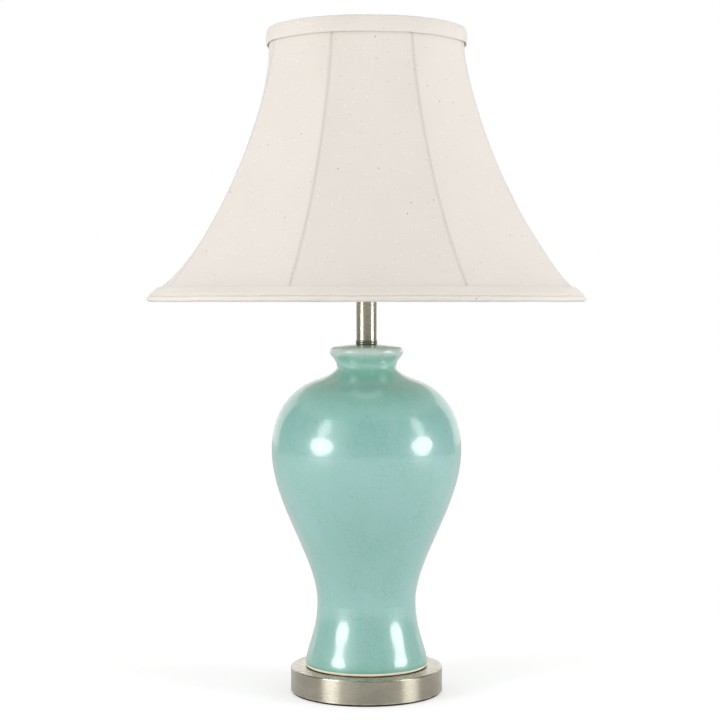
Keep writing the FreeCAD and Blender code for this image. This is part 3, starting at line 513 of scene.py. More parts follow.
@dataclass(frozen=True)
class Metal:
    """A brushed, turned or plain metal.

    Attributes:
        name: The finish's name.
        colour: The metal's own colour.
        tarnish: The colour where it has dulled.
        rough: Its roughness.
        drawn: How far brushing draws out its reflections, 0 to 1.
        lines: How fine the brushing is on each axis, for each metre.
        worn: Heights at which an edge is rubbed bright, in metres.
    """

    name: str
    colour: Colour
    tarnish: Colour
    rough: float = 0.3
    drawn: float = 0.0
    lines: tuple[float, float, float] = (14, 14, 2600)
    worn: tuple[float, ...] = ()

    def make(self) -> bpy.types.Material:
        """Build the material."""
        mix = Recipe(self.name)
        cloud = mix.noise((26, 26, 40), 4.0, 0.6)
        grain = mix.noise(self.lines, 2.0)
        colour = mix.blend(mix.span(cloud, 0.35, 0.8, 0.0, 0.5), self.colour, self.tarnish)
        colour = mix.blend(mix.span(grain, 0.3, 0.8, 0.0, 0.25), colour, self.tarnish)
        rough = mix.math("ADD", mix.span(cloud, 0.2, 0.8, self.rough - 0.03, self.rough + 0.04),
                         mix.span(grain, 0.3, 0.7, -0.02, 0.03))
        _, _, height = mix.parts(mix.place(Space.SOLID))
        for level in self.worn:
            away = mix.math("ABSOLUTE", mix.math("SUBTRACT", height, level))
            patch = mix.noise(160, 3.0)
            near = mix.math("MULTIPLY", mix.span(away, 0.0002, 0.0011, 1.0, 0.0), mix.span(patch, 0.35, 0.65))
            bright = tuple(min(1.0, part * 1.35) for part in self.colour)
            colour = mix.blend(mix.math("MULTIPLY", near, 0.7), colour, bright)
            rough = mix.math("SUBTRACT", rough, mix.math("MULTIPLY", near, 0.06))
        mix.drive("Base Color", colour)
        mix.drive("Roughness", rough)
        mix.drive("Normal", mix.relief(grain, 0.00002, 0.35))
        mix.fix(metallic=1.0)
        if self.drawn:
            tangent = mix.node("Tangent", direction_type="RADIAL", axis="Z")
            mix.drive("Tangent", tangent.outputs[0])
            mix.fix(anisotropic=self.drawn, anisotropic_rotation=0.25)
        return mix.material


@dataclass(frozen=True)
class Plain:
    """A moulded, painted, pressed or blown finish with a fine surface of its own.

    Attributes:
        name: The finish's name.
        colour: Its usual colour.
        other: The colour it drifts to.
        rough: Its roughness.
        grain: How fine its surface is, for each metre.
        depth: How deep that surface is, in metres.
        coat: The share of a clear coat over it.
        metallic: 1 where it is metal.
        fuzz: The share of a soft sheen on it.
    """

    name: str
    colour: Colour
    other: Colour
    rough: float = 0.5
    grain: float = 700.0
    depth: float = 0.00004
    coat: float = 0.0
    metallic: float = 0.0
    fuzz: float = 0.0

    def make(self) -> bpy.types.Material:
        """Build the material."""
        mix = Recipe(self.name)
        fine = mix.noise(self.grain, 4.0, 0.6)
        broad = mix.noise(30, 3.0)
        colour = mix.blend(mix.span(fine, 0.3, 0.75, 0.0, 0.6), self.colour, self.other)
        colour = mix.blend(mix.span(broad, 0.35, 0.8, 0.0, 0.4), colour, self.other)
        mix.drive("Base Color", colour)
        mix.drive("Roughness", mix.span(broad, 0.2, 0.8, self.rough - 0.04, self.rough + 0.06))
        mix.drive("Normal", mix.relief(fine, self.depth, 0.6))
        mix.fix(metallic=self.metallic, coat_weight=self.coat, coat_roughness=0.08,
                sheen_weight=self.fuzz, sheen_roughness=0.4)
        return mix.material


Finish = Woven | Celadon | Metal | Plain

LINEN = tone(233, 228, 221)
LINEN_SHADE = tone(214, 206, 197)

FINISHES: dict[str, Finish] = {
    "satin_nickel": Metal("satin_nickel", tone(202, 196, 180), tone(174, 167, 150), 0.27, 0.93,
                          worn=(0.0232, 0.0022)),
    "collar": Metal("polished_collar", tone(168, 162, 150), tone(120, 112, 98), 0.14),
    "brass": Metal("satin_brass", tone(196, 168, 112), tone(158, 130, 82), 0.26, worn=(0.374, 0.6137)),
    "iron": Metal("cast_iron", tone(78, 76, 74), tone(52, 48, 46), 0.62, lines=(700, 700, 700)),
    "steel": Metal("plated_steel", tone(178, 178, 180), tone(140, 140, 140), 0.3),
    "bushing": Plain("bushing_rubber", tone(34, 34, 35), tone(48, 48, 48), 0.55, 1600),
    "gasket": Plain("gasket_rubber", tone(40, 36, 36), tone(26, 24, 26), 0.7, 2200),
    "glaze": Celadon(),
    "liner_paper": Plain("pressed_paper", tone(120, 92, 62), tone(98, 74, 50), 0.85, 1500, 0.00008),
    "core_plastic": Plain("dark_moulding", tone(52, 44, 40), tone(38, 32, 30), 0.4, 900),
    "switch_metal": Metal("turned_brass", tone(190, 160, 104), tone(150, 122, 76), 0.22),
    "bulb_glass": Plain("frosted_glass", tone(244, 242, 236), tone(234, 231, 224), 0.34, 2600, 0.00002, 0.3),
    "bulb_metal": Plain("rolled_aluminium", tone(200, 200, 204), tone(176, 176, 180), 0.28, 500,
                        metallic=1.0),
    "black_glass": Plain("black_glass", tone(20, 20, 24), tone(30, 30, 34), 0.1, 600, coat=0.8),
    "frame_wire": Plain("enamelled_wire", tone(226, 222, 212), tone(206, 200, 186), 0.35, 500, coat=0.3),
}

FELT = Plain("felt", tone(16, 16, 17), tone(28, 27, 28), 0.95, 3200, 0.00025, fuzz=0.08)
KNOB_FINISH = Plain("knob_moulding", tone(40, 35, 33), tone(30, 26, 25), 0.25, 500, coat=0.5)


@dataclass
class Skin:
    """A closed skin round a grid of points.

    Attributes:
        points: Rows and columns of points of the outer face.
        marks: The place of each point on the flat cloth, with a column more where columns close.
        round_way: Whether the last column meets the first.
        thickness: How far the inner face lies behind the outer one, or 0 where rows close too.
    """

    points: np.ndarray
    marks: np.ndarray
    round_way: bool = False
    thickness: float = 0.0

    def normals(self) -> np.ndarray:
        """The directions that the outer face looks in."""
        down = np.gradient(self.points, axis=0)
        if self.round_way:
            across = np.roll(self.points, -1, axis=1) - np.roll(self.points, 1, axis=1)
        else:
            across = np.gradient(self.points, axis=1)
        normal = np.cross(across, down)
        return normal / np.linalg.norm(normal, axis=2, keepdims=True)

    def build(self, name: str) -> bpy.types.Object:
        """Make the object.

        Args:
            name: The piece's name.

        Returns:
            The new object, in the scene.
        """
        rows, columns = self.points.shape[:2]
        places = np.arange(rows * columns).reshape(rows, columns)
        marks = np.arange(self.marks.shape[0] * self.marks.shape[1]).reshape(self.marks.shape[:2])
        if self.round_way:
            places = np.hstack([places, places[:, :1]])
        if not self.thickness:
            places = np.vstack([places, places[:1]])
            faces, spots = quads(places), quads(marks)
            return make_cloth(name, self.points.reshape(-1, 3), faces, self.marks.reshape(-1, 2)[spots])
        inner = self.points - self.normals() * self.thickness
        faces = self.wrap(places, places + rows * columns)
        spots = self.wrap(marks, marks)
        points = np.vstack([self.points.reshape(-1, 3), inner.reshape(-1, 3)])
        return make_cloth(name, points, faces, self.marks.reshape(-1, 2)[spots])

    def wrap(self, front: np.ndarray, back: np.ndarray) -> np.ndarray:
        """The faces of a closed skin: its two sides and the edges between them.

        Args:
            front: The numbers of the points of its outer side, in rows and columns.
            back: The numbers of the points behind them.

        Returns:
            The four corners of every face.
        """
        faces = [quads(front), quads(back)[:, ::-1],
                 quads(np.vstack([back[0], front[0]])), quads(np.vstack([front[-1], back[-1]]))]
        if not self.round_way:
            faces += [quads(np.stack([back[:, 0], front[:, 0]], 1)),
                      quads(np.stack([front[:, -1], back[:, -1]], 1))]
        return np.vstack(faces)


def quads(places: np.ndarray) -> np.ndarray:
    """The four corners of every cell of a grid of numbers."""
    cells = np.stack([places[:-1, :-1], places[:-1, 1:], places[1:, 1:], places[1:, :-1]], -1)
    return cells.reshape(-1, 4)


def add_mesh(name: str, points: Sequence, faces: Sequence, sharp: float | None = None) -> bpy.types.Object:
    """Add a mesh object to the scene.

    Args:
        name: The object's name.
        points: Its points.
        faces: The numbers of each face's corners.
        sharp: The angle from which its smooth faces meet in an edge, in degrees, or None for flat faces.

    Returns:
        The new object.
    """
    mesh = bpy.data.meshes.new(name)
    mesh.from_pydata(points, [], faces)
    if sharp is not None:
        mesh.polygons.foreach_set("use_smooth", np.ones(len(mesh.polygons), bool))
        mesh.set_sharp_from_angle(angle=math.radians(sharp))
    thing = bpy.data.objects.new(name, mesh)
    bpy.context.scene.collection.objects.link(thing)
    return thing


def make_cloth(name: str, points: np.ndarray, faces: np.ndarray, marks: np.ndarray) -> bpy.types.Object:
    """Make a smooth object that knows where its points lie on the flat cloth.

    Args:
        name: The piece's name.
        points: Its points.
        faces: The numbers of each face's corners.
        marks: The place of each corner on the flat cloth.

    Returns:
        The new object, in the scene.
    """
    thing = add_mesh(name, points.tolist(), faces.tolist(), CLOTH_EDGE)
    layer = thing.data.uv_layers.new(name="cloth")
    layer.data.foreach_set("uv", marks.reshape(-1).astype(np.float32))
    thing.data.validate()
    return thing


def note_painted_seam_shade(thing: bpy.types.Object, nearness: np.ndarray) -> None:
    """Note on a skin's points how strongly its material paints shade along the seams, by how near a seam they
    lie.

    Args:
        thing: The skin.
        nearness: The strength of the painted seam shade at each point of its outer face, 1 on the seam.
    """
    values = np.tile(nearness.reshape(-1), 2).astype(np.float32)
    thing.data.attributes.new("seam", "FLOAT", "POINT").data.foreach_set("value", values)


def turn_profile(name: str, profile: Sequence[Point], steps: int,
                 shape: Callable[[float, float, float], Point]) -> bpy.types.Object:
    """Turn a profile that starts and ends on the axis into a closed solid about +Z.

    Args:
        name: The piece's name.
        profile: Radius and height of each ring, from the bottom of the axis to its top.
        steps: How many points a ring has.
        shape: Gives a point's radius and height from its angle, radius and height.

    Returns:
        The new object.
    """
    rings, points, faces = len(profile), [], []
    for radius, height in profile:
        for step in range(steps):
            angle = 2 * math.pi * step / steps
            far, up = shape(angle, radius, height)
            points.append((far * math.cos(angle), far * math.sin(angle), up))
    for ring in range(rings - 1):
        for step in range(steps):
            after = (step + 1) % steps
            low, high = ring * steps, (ring + 1) * steps
            faces.append((low + step, low + after, high + after, high + step))
    bottom, top = len(points), len(points) + 1
    points += [(0, 0, profile[0][1]), (0, 0, profile[-1][1])]
    for step in range(steps):
        after = (step + 1) % steps
        faces.append((bottom, after, step))
        faces.append((top, (rings - 1) * steps + step, (rings - 1) * steps + after))
    return add_mesh(name, points, faces, TURNED_EDGE)


def soften(corners: Sequence[Point], passes: int) -> np.ndarray:
    """Round a closed outline by cutting its corners.

    Args:
        corners: The outline's corners in order.
        passes: How often every corner is cut.

    Returns:
        The rounded outline, as rows of two numbers.
    """
    line = np.array(corners, float)
    for _ in range(passes):
        after = np.roll(line, -1, axis=0)
        line = np.stack([0.75 * line + 0.25 * after, 0.25 * line + 0.75 * after], 1).reshape(-1, 2)
    return line


def paint(thing: bpy.types.Object, material: bpy.types.Material) -> None:
    """Give an object one material in place of any it has."""
    thing.data.materials.clear()
    thing.data.materials.append(material)


def fit(thing: bpy.types.Object, material: bpy.types.Material, body: str, node: str) -> None:
    """Finish a piece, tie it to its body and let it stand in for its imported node.

    Args:
        thing: The piece.
        material: Its finish.
        body: The body that it moves with.
        node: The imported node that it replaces.
    """
    paint(thing, material)
    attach(thing, body)
    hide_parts(node)
    LOG.info("%s: %d faces", thing.name, len(thing.data.polygons))


@dataclass(frozen=True)
class Flare:
    """A curve that flares downwards round the lamp's axis, hollow towards the outside.

    Attributes:
        low: The height of its lower end above the shade's lower edge.
        high: The height of its upper end above that edge.
        bottom: Its radius at the lower end.
        top: Its radius at the upper end.
        arc: The radius of the curve itself.
    """

    low: float = 0.0035
    high: float = 0.2449
    bottom: float = 0.1987
    top: float = 0.0895
    arc: float = 0.494

    def centre(self) -> Point:
        """Where the centre of the curve lies, outwards and up."""
        rise, flare = self.high - self.low, self.bottom - self.top
        chord = math.hypot(rise, flare)
        off = math.sqrt(self.arc ** 2 - chord ** 2 / 4)
        out, up = (self.bottom + self.top) / 2, (self.low + self.high) / 2
        return out + off * rise / chord, up + off * flare / chord

    def radius(self, height: np.ndarray | float) -> np.ndarray:
        """Its radius round the lamp's axis, at heights above the shade's lower edge."""
        out, up = self.centre()
        return out - np.sqrt(self.arc ** 2 - (up - np.asarray(height, float)) ** 2)

    def along(self, height: np.ndarray) -> np.ndarray:
        """Its length from the lower end up to each height."""
        _, up = self.centre()
        return self.arc * (math.asin((up - self.low) / self.arc) - np.arcsin((up - height) / self.arc))


@dataclass(frozen=True)
class Bell(Flare):
    """The shade's cover, whose ribs follow the flare.

    Attributes:
        level: The height of the shade's lower edge above the table.
        panels: How many panels the cover has.
        phase: The direction of the first rib, in degrees.
        rim: How far the cover stays round above and below its rings.
        reach: How quickly it becomes flat between the ribs.
        least: How round it still is half-way up.
    """

    level: float = 0.3602
    panels: int = 8
    phase: float = 25.5
    rim: float = 0.0036
    reach: float = 0.026
    least: float = 0.02

    def fullness(self, height: np.ndarray) -> np.ndarray:
        """How round the cover is at each height, 1 at the rings."""
        above = height - self.low - self.rim
        below = self.high - self.rim - height
        return np.minimum(1.0, self.least + np.exp(-above / self.reach) + np.exp(-below / self.reach))

    def hollow(self, height: np.ndarray, turn: np.ndarray) -> np.ndarray:
        """How far the cover lies inside its ribs' curve.

        Args:
            height: Heights above the shade's lower edge.
            turn: Directions round the lamp, in radians.

        Returns:
            The distance for each height and direction.
        """
        half = math.pi / self.panels
        seam = self.radius(np.clip(height, self.low, self.high))
        rise = self.fullness(height) * seam * (1 - math.cos(half))
        bend = ((seam * math.sin(half)) ** 2 + rise ** 2) / (2 * rise)
        centre = seam * math.cos(half) + rise - bend
        aside = (turn - math.radians(self.phase)) % (2 * half) - half
        return seam - centre * np.cos(aside) - np.sqrt(bend ** 2 - (centre * np.sin(aside)) ** 2)


@dataclass
class Shade:
    """The shade: eight panels of linen, a stretched lining and two folded bands.

    Attributes:
        bell: The curve of its cover.
        inside: The curve of its lining.
        seed: Where its small irregularities start from.
        near_seam: Distances from a seam at which a panel has columns of points.
        gap: Half the gap that two panels leave at their seam.
        seam_depth: How deep the cloth sinks at a seam.
        seam_width: How far from the seam it does so.
        cover_cloth: The thickness of the cover's cloth.
        lining_cloth: The thickness of the lining.
        slack: A cloth's own area as a share of its smooth curve's; not used.
        panel_rows: How many rows of points a panel has.
        lining_rows: How many rows of points the lining has.
        lining_steps: How many columns the lining has.
        band_steps: How many columns a band has.
        overlap: How far the ends of a band lie over each other.
    """

    bell: Bell
    inside: Flare = Flare(low=0.0085, high=0.2364, bottom=0.18827, top=0.08659, arc=0.330)
    seed: int = 7
    near_seam: tuple[float, ...] = (0.0, 0.0003, 0.0007, 0.0012, 0.0019, 0.003, 0.005, 0.008, 0.013)
    gap: float = 0.00012
    seam_depth: float = 0.00062
    seam_width: float = 0.0011
    cover_cloth: float = 0.0005
    lining_cloth: float = 0.00045
    slack: float = 1.03
    panel_rows: int = 112
    lining_rows: int = 56
    lining_steps: int = 288
    band_steps: int = 300
    overlap: float = 0.016

    def __post_init__(self) -> None:
        """Weave the cloths and start the small irregularities."""
        self.chance = random.Random(self.seed)
        self.linen = Woven("shade_linen", LINEN, LINEN_SHADE).make()
        self.band = Woven("shade_band_linen", LINEN, LINEN_SHADE, turn=45.0, flecks=0.35).make()
        self.lining = Woven("shade_lining_cloth", tone(238, 235, 228), tone(220, 214, 204), 0.00035,
                            slubs=0.25, flecks=0.0, rough=0.6).make()

    def build(self) -> None:
        """Build every cloth piece."""
        for number in range(self.bell.panels):
            self.build_panel(number)
        self.build_lining()
        self.build_top_band()
        self.build_bottom_band()

    def build_panel(self, number: int) -> None:
        """One panel, drawn tight between two ribs, with its edges turned in at the seams.

        Args:
            number: Which panel, from 0.
        """
        bell = self.bell
        heights = np.linspace(bell.low, bell.high, self.panel_rows)[:, None]
        half = math.pi / bell.panels
        seam = bell.radius(heights)
        rise = bell.fullness(heights) * seam * (1 - math.cos(half))
        chord = seam * math.sin(half)
        bend = (chord ** 2 + rise ** 2) / (2 * rise)
        sweep = np.arcsin(np.clip(chord / bend, -1, 1))
        near = np.array(self.near_seam)
        edge = sweep * bend - self.gap
        inner = np.linspace(-1, 1, 17)[None, :] * (edge - 0.02)
        away = np.hstack([near[None, :] - edge, inner, edge - near[None, ::-1]])
        angle = away / bend
        gap = edge - np.abs(away)
        along = bell.along(heights)
        sink = self.seam_depth * np.exp(-(gap / self.seam_width) ** 2)
        sink += self.puckers(along, away, gap)
        out = seam * math.cos(half) + rise - bend + (bend - sink) * np.cos(angle)
        side = (bend - sink) * np.sin(angle)
        turn = math.radians(bell.phase) + (number + 0.5) * 2 * half
        points = np.stack([out * math.cos(turn) - side * math.sin(turn),
                           out * math.sin(turn) + side * math.cos(turn),
                           np.broadcast_to(heights + bell.level, out.shape)], 2)
        shift = self.chance.uniform(0, 1), self.chance.uniform(0, 1)
        marks = np.stack([away + shift[0], np.broadcast_to(along, away.shape) + shift[1]], 2)
        panel = Skin(points, marks, thickness=self.cover_cloth).build(f"shade_panel_{number + 1}")
        # Painted shade along the seams: strong in the groove, with a faint broad band beside it.
        note_painted_seam_shade(panel, np.exp(-(gap / 0.0013) ** 2) + 0.15 * np.exp(-gap / 0.005))
        fit(panel, self.linen, "shade", f"shade_gore_{number + 1}")

    def puckers(self, along: np.ndarray, away: np.ndarray, gap: np.ndarray) -> np.ndarray:
        """Small puckers beside the seams and faint drag lines across the panel.

        Args:
            along: The distance up the panel.
            away: The distance across from its middle.
            gap: The distance from the nearer seam.

        Returns:
            How far each point lies behind the taut cloth.
        """
        start = [self.chance.uniform(0, 2 * math.pi) for _ in range(6)]
        ripple = np.sin(along * 2 * math.pi / 0.0083 + start[0] + 2.2 * np.sin(along * 31 + start[1]))
        pinch = 0.00011 * (1 + ripple) * np.exp(-gap / 0.006) * (gap > 0.0004)
        sway = start[2] + 1.5 * np.sin(along * 17 + start[3])
        drag = np.sin((along * 0.8 + np.abs(away)) * 2 * math.pi / 0.034 + sway)
        slack = np.sin(along * 2 * math.pi / 0.11 + start[4]) * np.cos(away * 2 * math.pi / 0.19 + start[5])
        beside = np.exp(-gap / 0.03)
        return pinch + 0.00006 * (1 + drag) * beside + 0.00022 * (1 + slack) * (1 - beside)

    def build_lining(self) -> None:
        """The lining: stretched from ring to ring inside the ribs, with seams and small gathers."""
        bell = self.bell
        curve = self.inside
        heights = np.linspace(curve.low, curve.high, self.lining_rows)[:, None]
        radius = curve.radius(heights)
        steps = self.lining_steps
        turn = np.arange(steps)[None, :] * 2 * math.pi / steps
        ends = np.exp(-(heights - curve.low) / 0.022) + np.exp(-(curve.high - heights) / 0.022)
        start = self.chance.uniform(0, 6)
        folds = np.sin(turn * 72 + 1.3 * np.sin(turn * 5 + start))
        gathers = 0.00035 * ends * (1 + folds)
        from_seam = np.abs((turn * 4 / math.pi + 0.5) % 1.0 - 0.5) * math.pi / 4 * radius
        seams = 0.0008 * np.exp(-(from_seam / 0.0022) ** 2)
        radius = radius - 0.0001 - gathers - seams
        points = np.stack([radius * np.cos(turn), radius * np.sin(turn),
                           np.broadcast_to(heights + bell.level, radius.shape)], 2)
        length = curve.along(heights)
        turn_marks = np.arange(steps + 1)[None, :] * 2 * math.pi / steps * 0.13
        marks = np.stack(np.broadcast_arrays(turn_marks, length), 2)
        lining = Skin(points, marks, True, self.lining_cloth).build("shade_lining_cloth")
        fit(lining, self.lining, "shade", "shade_lining")

    def build_band(self, name: str, node: str, corners: Sequence[Point], join: float) -> None:
        """Fold a band of the same linen over a ring.

        Args:
            name: The piece's name.
            node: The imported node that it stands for.
            corners: The section's corners, outwards and up in millimetres, outer side first.
            join: Where its ends overlap, in degrees.
        """
        steps = self.band_steps
        section = soften(corners, 3) * MILLIMETRE
        turn = np.arange(steps)[None, :] * 2 * math.pi / steps
        middle = section.mean(axis=0)
        outer = (section[:, :1] > middle[0]).astype(float)
        phases = [self.chance.uniform(0, 6) for _ in range(4)]
        wave = (np.sin(turn * 7 + phases[0]) + np.sin(turn * 13 + phases[1])) * 0.5
        fine = np.sin(turn * 47 + phases[2] + 2 * np.sin(turn * 6 + phases[3]))
        from_join = (turn - math.radians(join) + math.pi) % (2 * math.pi) - math.pi
        overlap = 0.5 + 0.5 * np.tanh((self.overlap / 2 - np.abs(from_join) * middle[0]) / 0.0007)
        level = np.clip(section[:, 1:], self.bell.low, self.bell.high)
        outside = section[:, :1] > self.bell.radius(level) - 0.002
        radius = section[:, :1] + outer * (0.00012 * wave + 0.00009 * fine + 0.00050 * overlap)
        radius = radius - outside * self.bell.hollow(level, turn)
        height = section[:, 1:] + 0.00016 * wave + 0.00005 * fine + 0 * radius
        points = np.stack([radius * np.cos(turn), radius * np.sin(turn), height + self.bell.level], 2)
        sides = np.linalg.norm(np.diff(section, axis=0, append=section[:1]), axis=1)
        around = np.concatenate([[0.0], np.cumsum(sides)])
        marks = np.stack(np.meshgrid(np.arange(steps + 1) * 2 * math.pi / steps * middle[0], around), 2)
        band = Skin(points[::-1], marks[::-1], True).build(name)
        fit(band, self.band, "shade", node)

    def build_top_band(self) -> None:
        """The band round the top ring."""
        corners = ((91.9, 234.3), (92.7, 234.0), (93.3, 234.5), (93.1, 236.5), (92.5, 240.6),
                   (91.9, 244.6), (91.75, 245.3), (91.3, 245.65), (91.7, 246.0), (91.6, 247.2),
                   (90.4, 248.7), (87.5, 248.7), (84.4, 248.7), (83.5, 246.9), (83.55, 241.5),
                   (84.95, 241.4), (84.95, 245.0), (85.4, 245.3), (89.3, 245.3), (90.0, 244.7),
                   (90.9, 239.8))
        self.build_band("shade_top_band", "shade_top_trim", corners, 118.0)

    def build_bottom_band(self) -> None:
        """The band round the bottom ring, with the crease where it turns under the ring."""
        corners = ((192.2, 12.6), (193.4, 13.0), (194.1, 12.4), (196.4, 9.2), (199.0, 5.8),
                   (199.5, 5.4), (199.55, 5.05), (199.0, 4.75), (199.7, 4.55), (200.7, 4.3),
                   (201.6, 2.9), (201.2, 0.9), (199.0, -0.15), (195.9, -0.1), (192.3, -0.1),
                   (190.5, 1.4), (190.3, 3.0), (186.95, 8.3), (188.3, 8.3), (191.5, 3.5),
                   (195.6, 3.2), (198.9, 3.3), (195.8, 7.8))
        self.build_band("shade_bottom_band", "shade_bottom_trim", corners, 96.0)


@dataclass
class Base:
    """The felt pad under the drum.

    Attributes:
        radius: The pad's radius.
        height: The pad's thickness.
        steps: How many points its edge has.
    """

    radius: float = 0.069
    height: float = 0.0018
    steps: int = 180

    def build(self) -> None:
        """Build the pad with its slightly ragged, rounded edge."""
        chance = random.Random(3)
        jitter = [chance.uniform(-1, 1) for _ in range(self.steps)]

        def shape(angle: float, radius: float, height: float) -> Point:
            """Fray the edge and leave the flat faces alone."""
            step = round(angle / (2 * math.pi) * self.steps) % self.steps
            if radius < self.radius * 0.97:
                return radius, height
            return radius + 0.00018 * jitter[step] + 0.0001 * math.sin(angle * 9), height

        edge, high = self.radius, self.height
        flat = (0.3, 0.7, 0.95)
        profile = [(share * edge, 0.0) for share in flat]
        profile += [(edge - 0.0007, 0.0), (edge - 0.0002, 0.0003), (edge, 0.0008),
                    (edge - 0.0001, high - 0.0004), (edge - 0.0005, high)]
        profile += [(share * edge, high) for share in reversed(flat)]
        pad = turn_profile("base_pad", profile, self.steps, shape)
        fit(pad, FELT.make(), "root", "base_felt")


@dataclass
class Knob:
    """The fluted knob of the turn switch.

    Attributes:
        radius: The radius over the flutes, at the back.
        taper: How much smaller the front is.
        length: The knob's length.
        bore: The radius of the hole for the stem.
        depth: The depth of that hole.
        flutes: How many flutes it has.
        back: How far the back face lies in front of the lamp's axis.
        level: The height of its axis.
    """

    radius: float = 0.0055
    taper: float = 0.0006
    length: float = 0.013
    bore: float = 0.0019
    depth: float = 0.0075
    flutes: int = 16
    back: float = 0.0186
    level: float = 0.3976

    def build(self) -> None:
        """Build the knob along +Z, then turn it to point forwards."""
        def shape(angle: float, radius: float, height: float) -> Point:
            """Cut the flutes into the side."""
            if radius < self.radius * 0.8 or not 0.0008 < height < self.length - 0.0005:
                return radius, height
            return radius - 0.00045 * (0.5 - 0.5 * math.cos(angle * self.flutes)) ** 2, height

        wide, end, tip = self.radius, self.radius - self.taper, self.length
        profile = [(self.bore * 0.5, self.depth), (self.bore, self.depth), (self.bore, 0.0),
                   (wide - 0.0003, 0.0), (wide, 0.0003), (wide, 0.0009), (wide - 0.0001, 0.003),
                   (end + 0.0002, 0.0085), (end, tip - 0.0012), (end - 0.0003, tip - 0.0005),
                   (end - 0.001, tip), (end - 0.0018, tip - 0.0002), (end * 0.3, tip - 0.0002)]
        knob = turn_profile("switch_knob_fluted", profile, self.flutes * 8, shape)
        knob.rotation_euler = (math.radians(90), 0, 0)
        knob.location = (0, -self.back, self.level)
        fit(knob, KNOB_FINISH.make(), "switch", "switch_knob")


class Frame:
    """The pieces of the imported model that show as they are."""

    def __init__(self, frame: dict) -> None:
        """Take the loaded frame.
        """
        self.nodes = frame["nodes"]
        self.slots = {part["node"]: part["material_slot"] for part in frame["record"]["subparts"]}

    def dress(self) -> None:
        """Give every shown node the finish of its slot."""
        made: dict[str, bpy.types.Material] = {}
        for name, thing in sorted(self.nodes.items()):
            finish = self.finish_of(name)
            if thing.hide_render or finish is None:
                continue
            if finish.name not in made:
                made[finish.name] = finish.make()
            for spot in range(len(thing.data.materials)):
                thing.data.materials[spot] = made[finish.name]
            LOG.info("%s: %s", name, finish.name)

    def finish_of(self, node: str) -> Finish | None:
        """The finish of a node, from its name or its slot."""
        return FINISHES["collar"] if node == "neck_collar" else FINISHES.get(self.slots[node])


@dataclass(frozen=True)
class SoftLight:
    """A soft round light that hangs on each side of the lamp.

    Attributes:
        name: The light's name, without its side.
        rise: Its angle above the lamp's middle, in degrees.
        width: Its width.
        height: Its height.
        bright: Its brightness, where 1 is white.
        away: How far it hangs from the lamp's middle.
        middle: The height of that middle.
    """

    name: str
    rise: float
    width: float
    height: float
    bright: float
    away: float = 1.72
    middle: float = 0.25

    def hang(self, side: str, azimuth: float) -> None:
        """Hang it so that it faces the lamp.

        Args:
            side: Which side it hangs on.
            azimuth: Its angle from the camera's direction, in degrees, positive to the right.
        """
        name = f"{self.name}_{side}"
        lamp = bpy.data.lights.new(name, "AREA")
        lamp.shape = "ELLIPSE"
        lamp.size, lamp.size_y = self.width, self.height
        lamp.energy = self.bright * math.pi * self.width * self.height * math.pi / 4
        turn, up = math.radians(azimuth), math.radians(self.rise)
        way = Vector((math.sin(turn) * math.cos(up), -math.cos(turn) * math.cos(up), math.sin(up)))
        place = bpy.data.objects.new(name, lamp)
        place.location = Vector((0, 0, self.middle)) + way * self.away
        place.rotation_mode = "QUATERNION"
        place.rotation_quaternion = way.to_track_quat("Z", "Y")
        place.visible_camera = False
        bpy.context.scene.collection.objects.link(place)


